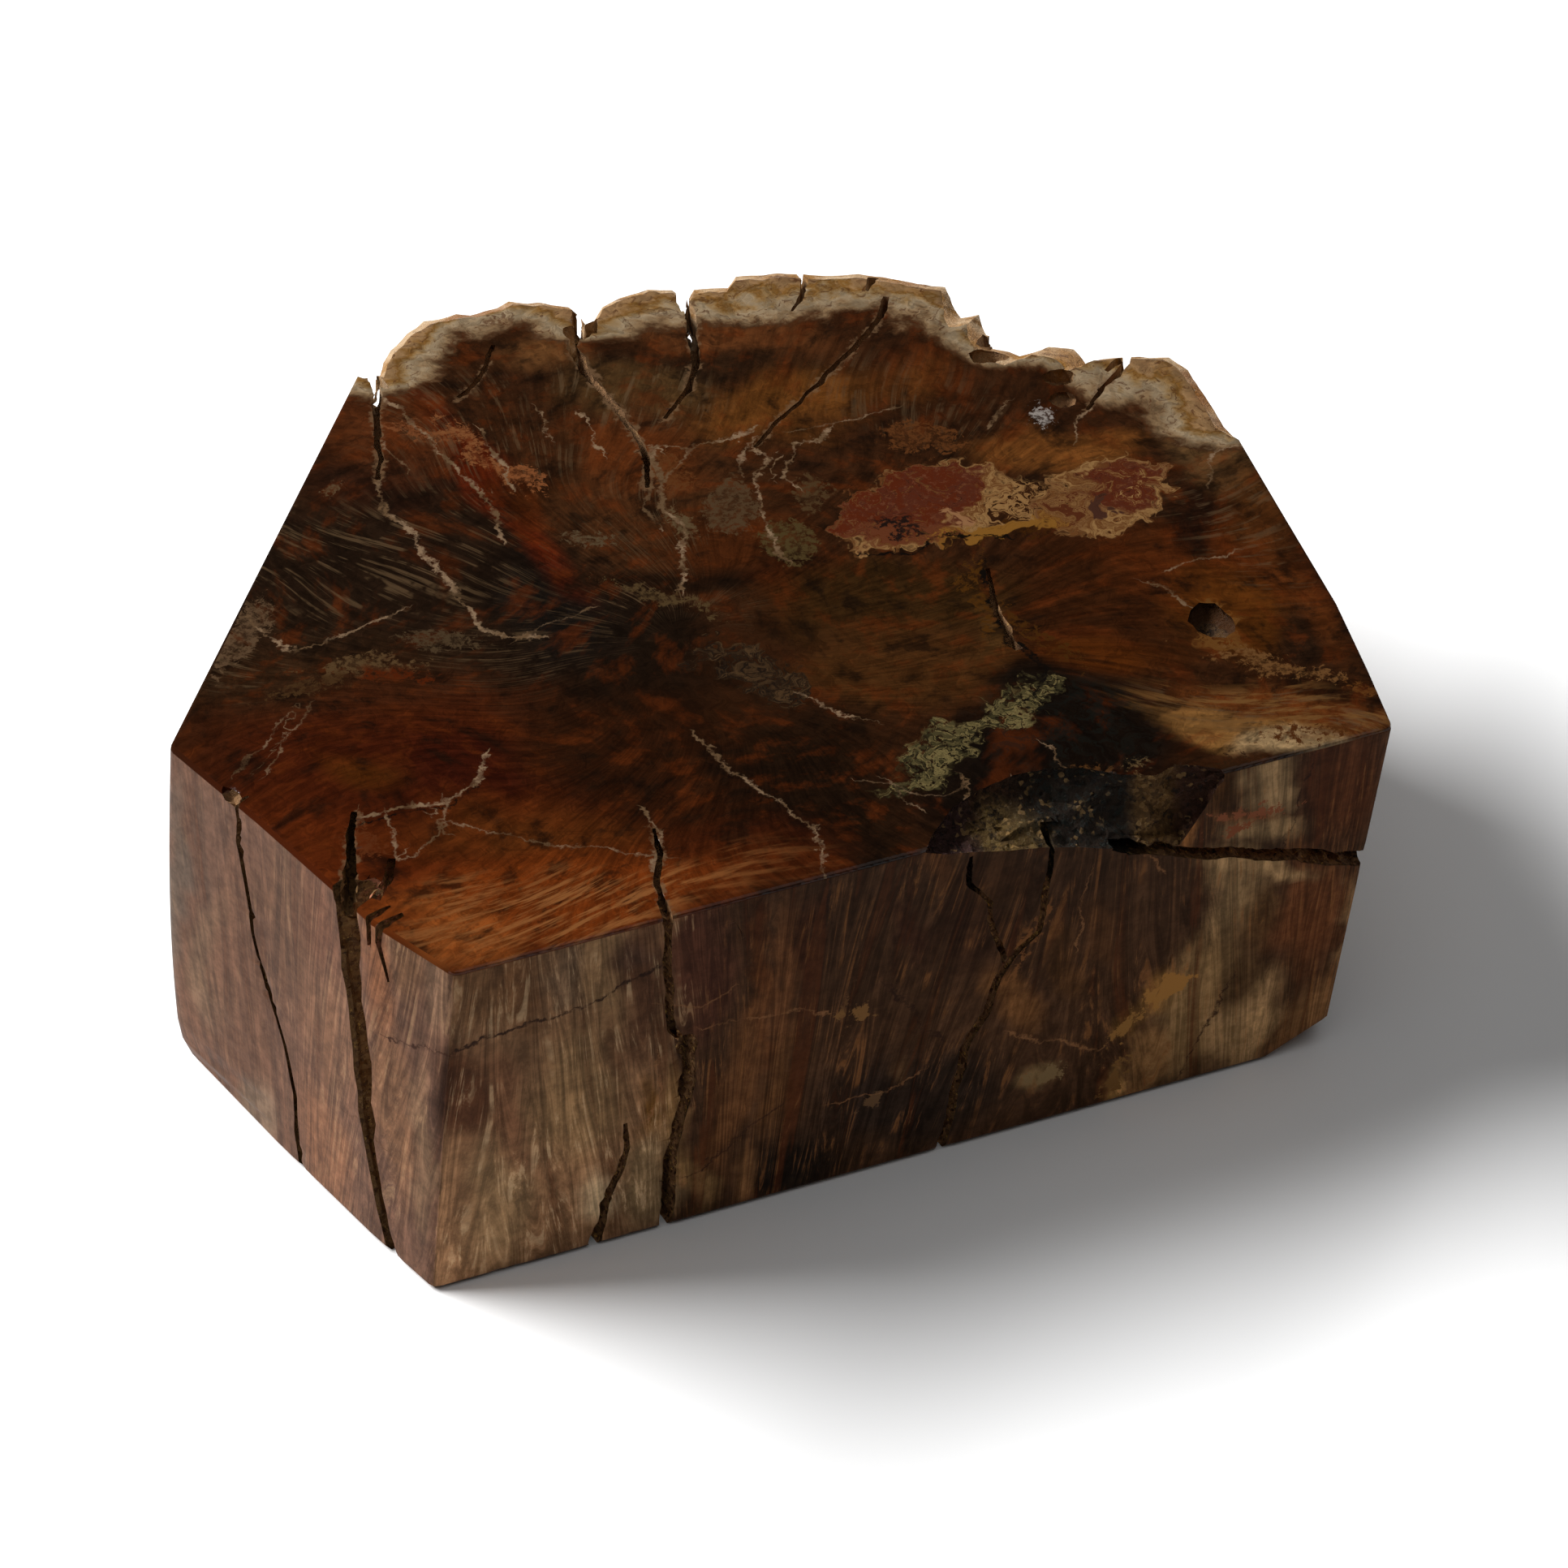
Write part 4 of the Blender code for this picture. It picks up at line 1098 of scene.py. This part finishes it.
# Zones of the sawn sides: how far round and how high, half sizes, turn, look. The last ones are out of
# the photograph's sight and guessed
sideZones = {
    "blueGreyEdge": ((-174, 46), (25, 3.0), 87, (107, 89, 76)),
    "blueGreyTwo": ((-165, 62), (15, 1.8), 84, (111, 85, 70)),
    "greyCream": ((-163, 36), (16, 4.4), 80, (138, 110, 86)),
    "greyCreamLow": ((-152, 4), (10, 4.3), 77, (138, 112, 91)),
    "mauveTopLeft": ((-161, 69), (12, 3.6), 82, (114, 84, 68)),
    "mauvePink": ((-157, 35), (19, 7.5), 87, (124, 89, 70)),
    "mauveMid": ((-137, 67), (19, 7.6), 82, (114, 82, 63)),
    "mauveUpper": ((-127, 69), (12, 5.8), -81, (114, 78, 60)),
    "pinkMid": ((-123, 44), (12, 8.0), -78, (137, 98, 74)),
    "salmonFan": ((-126, 13), (13, 8.8), -79, (151, 104, 76)),
    "pinkRight": ((-109, 77), (18, 3.1), -87, (139, 91, 63)),
    "greyCornerTop": ((-100, 78), (9, 3.9), -89, (129, 92, 66)),
    "greyCorner": ((-92, 76), (10, 2.4), -86, (136, 103, 80)),
    "salmonLow": ((-103, 39), (18, 4.4), -80, (139, 99, 72)),
    "greyLow": ((-94, 34), (19, 2.6), -85, (143, 109, 82)),
    "beigeTop": ((-82, 76), (9, 5.1), -74, (84, 58, 37)),
    "mauveTop": ((-74, 74), (10, 3.1), -75, (74, 49, 30)),
    "greyTop": ((-65, 74), (7, 3.1), -77, (82, 62, 45)),
    "creamTop": ((-58, 74), (15, 3.2), -83, (106, 80, 54)),
    "mauveBelow": ((-84, 51), (11, 5.4), -80, (60, 35, 21)),
    "mauveFan": ((-74, 44), (16, 2.6), -76, (83, 55, 37)),
    "creamFan": ((-76, 19), (15, 5.2), -88, (90, 69, 47)),
    "beigeMid": ((-61, 43), (15, 6.1), -81, (94, 71, 47)),
    "yellowStain": ((-47, 34), (7, 1.7), -86, (70, 45, 18)),
    "whitishLow": ((-55, 13), (7, 3.7), -66, (122, 102, 77)),
    "creamBetween": ((-44, 14), (12, 4.2), -87, (80, 63, 43)),
    "creamEdge": ((-41, 34), (9, 2.9), -86, (106, 78, 48)),
    "darkBrownTop": ((-49, 67), (18, 3.9), -84, (55, 34, 22)),
    "brownRight": ((-38, 70), (18, 5.0), -83, (55, 31, 21)),
    "mauveDark": ((-51, 77), (5, 2.4), -33, (54, 36, 26)),
    "fibreOne": ((-25, 59), (19, 1.9), -81, (64, 35, 17)),
    "fibreTwo": ((-19, 57), (19, 2.3), -84, (72, 44, 25)),
    "fibreThree": ((-16, 67), (9, 0.8), -80, (44, 23, 12)),
    "fan": ((-27, 34), (22, 3.2), 83, (65, 40, 22)),
    "fanRight": ((-18, 29), (12, 3.2), 87, (54, 33, 17)),
    "fanLowBeige": ((-35, 11), (9, 2.7), -75, (90, 66, 40)),
    "fanLowOrange": ((-24, 7), (6, 2.0), 82, (104, 70, 42)),
    "darkLow": ((-14, 7), (10, 6.9), -25, (19, 14, 10)),
    "orangeFibreA": ((9, 79), (8, 2.0), -68, (52, 31, 17)),
    "brownPatchB": ((6, 62), (8, 2.5), -68, (41, 23, 14)),
    "centreBrown": ((19, 60), (10, 5.2), -71, (36, 21, 12)),
    "orangeC": ((30, 37), (10, 3.3), -60, (74, 47, 25)),
    "orangeD": ((49, 48), (8, 2.5), -67, (55, 34, 19)),
    "orangeE": ((42, 42), (10, 2.7), -75, (50, 31, 16)),
    "darkBottom": ((10, 17), (20, 9.4), -17, (26, 18, 13)),
    "darkUpper": ((23, 70), (9, 4.9), -33, (40, 24, 13)),
    "paleSpotLow": ((7, 26), (4, 1.7), -65, (55, 37, 22)),
    "blotchA": ((66, 29), (4, 3.6), -54, (100, 68, 32)),
    "blotchB": ((58, 22), (5, 2.0), 61, (80, 55, 27)),
    "creamBlotch": ((40, 13), (4, 2.4), -3, (82, 64, 41)),
    "blotchSmall": ((56, 4), (5, 1.2), -85, (140, 102, 58)),
    "creamZoneTop": ((76, 51), (10, 4.9), -79, (88, 68, 45)),
    "creamZoneMid": ((73, 22), (18, 6.5), 88, (88, 66, 41)),
    "creamZoneRight": ((85, 11), (11, 5.7), 90, (112, 86, 57)),
    "creamStreak": ((63, 8), (10, 4.1), -85, (90, 63, 37)),
    "darkIsland": ((83, 26), (7, 3.5), 84, (51, 35, 20)),
    "darkIslandTwo": ((83, 42), (9, 3.4), -64, (60, 40, 22)),
    "redRight": ((95, 40), (14, 6.2), -84, (68, 38, 20)),
    "brownLowRight": ((101, 10), (9, 6.2), 89, (88, 60, 36)),
    "greyEdge": ((105, 32), (10, 1.5), -84, (90, 66, 43)),
    "greyTan": ((83, 54), (11, 1.5), -21, (118, 92, 62)),
    "darkTopLeft": ((69, 80), (7, 3.5), -70, (42, 24, 9)),
    "pinkTan": ((64, 71), (6, 1.4), -79, (116, 74, 40)),
    "creamPiece": ((80, 77), (7, 4.0), -56, (104, 82, 56)),
    "redLines": ((77, 70), (5, 0.8), -18, (80, 50, 29)),
    "greyTanLow": ((82, 65), (7, 2.6), -23, (102, 80, 54)),
    "darkPatch": ((87, 75), (4, 1.1), -76, (34, 23, 14)),
    "mauveEnd": ((98, 71), (13, 6.8), -63, (58, 31, 16)),
    "rightGrey": ((150, 40), (34, 22), 80, (110, 88, 66)),
    "rightRed": ((182, 50), (30, 16), 84, (84, 44, 26)),
    "rightCream": ((205, 30), (26, 9), 78, (128, 104, 76)),
    "backCream": ((-282, 40), (40, 16), 86, (136, 108, 78)),
    "backMauve": ((-250, 50), (36, 20), 88, (92, 66, 54)),
    "backBrown": ((-215, 36), (30, 20), 84, (70, 44, 28)),
    "backGrey": ((-192, 50), (34, 9), 88, (112, 92, 78)),
}
sideBlend = {"long": 1.1, "wide": 1.15, "narrowest": 1.6, "edge": 0.5, "strength": 0.95}
# Crisp spots of the front side
sidePatches = {
    "ochreBlotch": ((65.5, 28), (5.6, 3.4), 34, (108, 74, 36)),
    "ochreTail": ((58, 21.5), (5.4, 1.8), 58, (98, 68, 34)),
    "creamBlotch": ((40.5, 13.2), (4.6, 2.2), 14, (88, 70, 46)),
    "ochreFoot": ((56.5, 5), (5.5, 1.4), 74, (84, 58, 30)),
    "orangeFlame": ((31, 50), (7.0, 1.7), 70, (84, 52, 28)),
    "ringFoot": ((-3.4, 44.8), (2.6, 1.1), -10, (86, 60, 33)),
    "ringSide": ((-6.0, 48.0), (0.8, 3.4), 0, (66, 44, 26)),
    "redLine": ((77, 70.5), (6, 1.0), -8, (96, 54, 34)),
    "redLineLow": ((76, 67.3), (4, 0.9), 6, (92, 50, 30)),
    "paleFleck": ((3, 20), (3.0, 1.6), 30, (64, 46, 30)),
}
# Light on the front side, at its left end and on the left side, beside the colour seen
frontLight = 0.52
nearLight = 0.66
leftLight = 1.72
cornerSeam = (-88.5, -86.9)      # where the left side goes over into the front


def sideZone(at, size, turn, look):
    # a little larger than it looks, because its edge is soft
    size = (size[0] * sideBlend["long"], max(size[1], sideBlend["narrowest"]) * sideBlend["wide"])
    return at, size, turn, tone(look), sideBlend["edge"], sideBlend["strength"]


sideBase = np.array([tone((120, 86, 68))] * len(girth))
for least, look in ((leftOfFront, (92, 66, 45)), (-42, (44, 28, 17)), (108, (74, 46, 30))):
    sideBase[girth > least] = tone(look)
paintZones("sideTone", wiggled(roundSides, 14.0, 4.0), [sideZone(*zone) for zone in sideZones.values()],
           sideBase)
paintPatches("sidePatch", wiggled(roundSides, 5.0, 1.6),
             [(*patch[:3], tone(patch[3])) for patch in sidePatches.values()])


def sawnSide():
    place, x, y, z = newPaint("sawnSide")
    turnRound = reading("girth", "Fac")
    flat = joined(turnRound, z, 1.0)
    onFront = fade(turnRound, *cornerSeam)
    colour = reading("sideTone", "Color")

    # fibres: long and upright, leaning more towards the foot
    down = calc('SUBTRACT', height, z)
    lean = times(down, 0.16, calc('SINE', calc('MULTIPLY_ADD', turnRound, 0.05, 1.0)))
    upright = joined(calc('ADD', turnRound, lean), times(z, 0.08), 1.0)
    upright = wander(upright, 10, 7)
    fibre = cloud(upright, 1.3, 5.0, 0.72)
    fine = dimmed(colour, fade(fibre, 0.34, 0.66, 0.68, 1.34))
    colour = blend(fade(turnRound, -160.0, -100.0, 0.25, 1.0), colour, fine)
    broad = cloud(upright, 5.5, 4.0, 0.62)
    colour = dimmed(colour, fade(broad, 0.34, 0.66, 0.74, 1.3))
    rusty = times(fade(broad, 0.42, 0.3), fade(turnRound, -48.0, -30.0, 0.3, 0.5))
    colour = blend(rusty, colour, blend(onFront, tone((138, 88, 62)), tone((62, 31, 15))))

    # bright fibres in groups
    groups = fade(cloud(flat, 13, 3.0), 0.42, 0.58)
    threads = times(fade(fibre, 0.54, 0.66), groups)
    glow = blend(onFront, tone((172, 134, 100)), tone((88, 55, 29)))
    glow = blend(times(onFront, fade(turnRound, -34.0, -46.0)), glow, tone((136, 112, 84)))
    colour = blend(times(threads, fade(turnRound, -160.0, -100.0, 0.2, 0.65)), colour, glow)
    mottle = cloud(flat, 3.4, 5.0, 0.72)
    colour = dimmed(colour, fade(mottle, 0.32, 0.68, 0.8, 1.2))
    inside = calc('ADD', reading("sidePatch", "Alpha"), calc('MULTIPLY_ADD', mottle, 9.0, -4.5))
    inside = times(fade(inside, -0.15, 0.35), onFront)
    colour = blend(inside, colour, reading("sidePatch", "Color"))

    uneven = unevenness(flat)
    seam = lineShare("sideSeams", uneven)
    colour = blend(times(seam, 0.9), colour, blend(onFront, tone((62, 34, 22)), tone((28, 16, 11))))
    thread = lineShare("sideThreads", uneven, 2.0)
    colour = blend(times(thread, 0.7), colour, tone((104, 70, 44)))

    # the stone's own colour: what is seen, divided by the light on that side
    front = fade(turnRound, -75.0, 10.0, 1 / nearLight, 1 / frontLight)
    low = calc('SUBTRACT', fade(z, 2.0, 72.0, 1.5, 0.8), 1.0)       # less light reaches the front lower down, so its colour is painted brighter there
    front = times(front, calc('MULTIPLY_ADD', low, onFront, 1.0))
    gain = times(fade(turnRound, *cornerSeam, nearLight / leftLight, 1.0), front)
    hidden = times(fade(turnRound, 106.5, 112.0, 1.0, 0.6), fade(turnRound, -177.0, -174.0, 0.6, 1.0))
    colour = dimmed(colour, times(gain, hidden))
    arris = fade(z, 82.0, 82.3)          # the dull edge keeps the top's colour
    colour = blend(arris, colour, reading("topTone", "Color"))
    roughness = largest(arris, fade(broad, 0.3, 0.7, 0.3, 0.45))
    endPaint(colour, roughness, 0.02, cloud(flat, 0.8, 1.0), 0.06)


def roughBark():
    # weathered rind: cream, grey and ochre, with brown in the hollows
    place, x, y, z = newPaint("bark")
    drawnUp = joined(x, y, times(z, 0.35))
    broad = fade(lump(drawnUp, 14, 4.0), 0.36, 0.64)
    colour = blend(broad, tone((150, 112, 72)), tone((186, 160, 128)))
    for where, size, detail, rough, low, high, most, look in (
            (place, 9.0, 4.0, 0.6, 0.52, 0.66, 1.0, (140, 98, 44)),
            (drawnUp, 6.0, 5.0, 0.65, 0.55, 0.7, 1.0, (112, 82, 58)),
            (place, 30.0, 2.0, 0.55, 0.52, 0.62, 0.6, (120, 74, 40)),
            (drawnUp, 2.2, 5.0, 0.7, 0.58, 0.72, 0.8, (70, 42, 24)),
            (place, 1.2, 4.0, 0.7, 0.6, 0.75, 0.6, (206, 184, 152))):
        share = fade(lump(where, size, detail, rough), low, high, 0.0, most)
        colour = blend(share, colour, tone(look))
    roughness = fade(lump(place, 3.0), 0.3, 0.7, 0.7, 0.95)
    grain = calc('ADD', lump(place, 0.9, 5.0, 0.7), times(lump(drawnUp, 3.0, 4.0), 0.6))
    endPaint(colour, roughness, 0.15, grain, 0.6, 0.0012)


# Broken and crystalline stone: the chip from left to right, in plan
chipTones = {
    "plum": ((12, -98), (7, 14), 0, (56, 36, 34), 0.4),
    "straw": ((26, -99), (8, 6), 0, (92, 72, 36), 0.3),
    "blueBlack": ((42, -96), (12, 11), 0, (22, 24, 20), 0.4),
    "tan": ((57, -99), (5, 6), 0, (98, 70, 36), 0.4),
    "redBrown": ((66, -98), (5, 10), 0, (52, 29, 19), 0.4),
}


def brokenStone():
    # granular fissure fill, ragged edges, the crystals of the chip with painted glints, and the sparkling
    # hole
    place, x, y, z = newPaint("brokenStone")
    flat = joined(x, y, 1.0)
    torn = wander(flat, 4, 2.0)
    grains = parts(asPlace(cells(place, 0.8, 'F1', "Color", '3D')))[0]
    colour = blend(grains, tone((54, 35, 22)), tone((112, 82, 54)))
    colour = blend(fade(lump(place, 2.2, 5.0, 0.7), 0.56, 0.66), colour, tone((30, 18, 11)))
    colour = blend(fade(lump(place, 0.9, 4.0, 0.7), 0.58, 0.66), colour, tone((150, 118, 62)))
    leftSide = times(fade(y, -100.0, -97.0), fade(x, -60.0, -80.0), fade(grains, 0.1, 0.8, 0.2, 0.9))
    colour = blend(leftSide, colour, tone((100, 74, 44)))
    pinkEdge = spot(torn, (-92, -78), (5, 10), -20, 0.3)
    pink = fade(lump(place, 2.0, 4.0), 0.5, 0.6)
    colour = blend(times(pinkEdge, pink, 0.8), colour, tone((158, 100, 76)))

    healed = times(fade(y, -50.0, -40.0), fade(z, 66.0, 72.0), fade(grains, 0.0, 1.0, 0.5, 0.9))
    colour = blend(healed, colour, tone((120, 90, 62)))
    inChip = times(fade(y, -84.0, -87.0), fade(x, 2.0, 6.0), fade(x, 74.0, 70.0), fade(z, 64.0, 67.0))
    rock = blend(grains, tone((28, 18, 11)), tone((66, 42, 26)))
    glint = fade(grains, 0.1, 0.95, 0.35, 1.0)
    for at, size, angle, look, edge in chipTones.values():
        rock = blend(times(spot(torn, at, size, angle, edge), glint), rock, tone(look))
    rock = blend(fade(lump(place, 1.6, 5.0, 0.7), 0.54, 0.64, 0.0, 0.85), rock, tone((16, 11, 8)))
    # pale specks on a few grains of the chip: painted glints of the crystals
    paintedGlints = times(fade(grains, 0.86, 0.9), fade(lump(place, 5.0), 0.46, 0.56), 0.6)
    rock = blend(paintedGlints, rock, tone((132, 102, 62)))
    colour = blend(inChip, colour, rock)

    vug = spot(torn, (87.5, -60), (9, 8), 0, 0.2)
    inside = blend(grains, tone((22, 13, 8)), tone((74, 52, 30)))
    inside = blend(spot(torn, (87.6, -60.4), (4.4, 2.2), 86, 0.3), tone((58, 34, 14)), inside)
    colour = blend(vug, colour, inside)

    # deep fill is drawn paler, as little light gets down there
    fill = calc('SUBTRACT', 1.0, largest(inChip, vug))
    paler = times(fill, fade(y, -97.0, -100.0, 0.3, 1.0))
    shade = calc('MULTIPLY_ADD', calc('MINIMUM', reading("sunk", "Fac"), 2.5), paler, 1.0)
    colour = dimmed(colour, shade)
    shine = times(largest(inChip, vug), fade(grains, 0.4, 0.9))
    relief = calc('ADD', lump(place, 0.7, 5.0, 0.7), times(grains, 0.5))
    endPaint(colour, fade(shine, 0.0, 1.0, 0.85, 0.28), 0.12, relief, 0.8, 0.0008)


def sawnBase():
    # matte underside with faint saw marks
    place, x, y, z = newPaint("sawnBase")
    flat = joined(x, y, 1.0)
    rays = grainAlong(wander(flat, 9, 1.2), pith, 40.0, 12.0)
    colour = blend(cloud(wander(flat, 20, 6), 30, 4.0), tone((96, 72, 56)), tone((128, 100, 78)))
    colour = dimmed(colour, fade(lump(rays, 1.0, 4.0, 0.65), 0.3, 0.7, 0.86, 1.12))
    outer = fade(reading("rind", "Fac"), 1.4, 0.8)
    colour = blend(times(outer, 0.7), colour, tone((158, 128, 96)))
    saw = cloud(joined(times(x, 0.02), y, 1.0), 1.4, 3.0)
    endPaint(colour, fade(saw, 0.3, 0.7, 0.6, 0.8), 0.5, saw, 0.2, 0.0004)


sawnSide()
roughBark()
brokenStone()
sawnBase()
stone.data.polygons.foreach_set("material_index", kinds.astype(np.int32))

bpy.ops.object.select_all(action='DESELECT')
stone.select_set(True)
bpy.context.view_layer.objects.active = stone
bpy.ops.object.shade_smooth_by_angle(angle=math.radians(block["smoothAngle"]))

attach(stone, "root")
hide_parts(block["cadNode"])
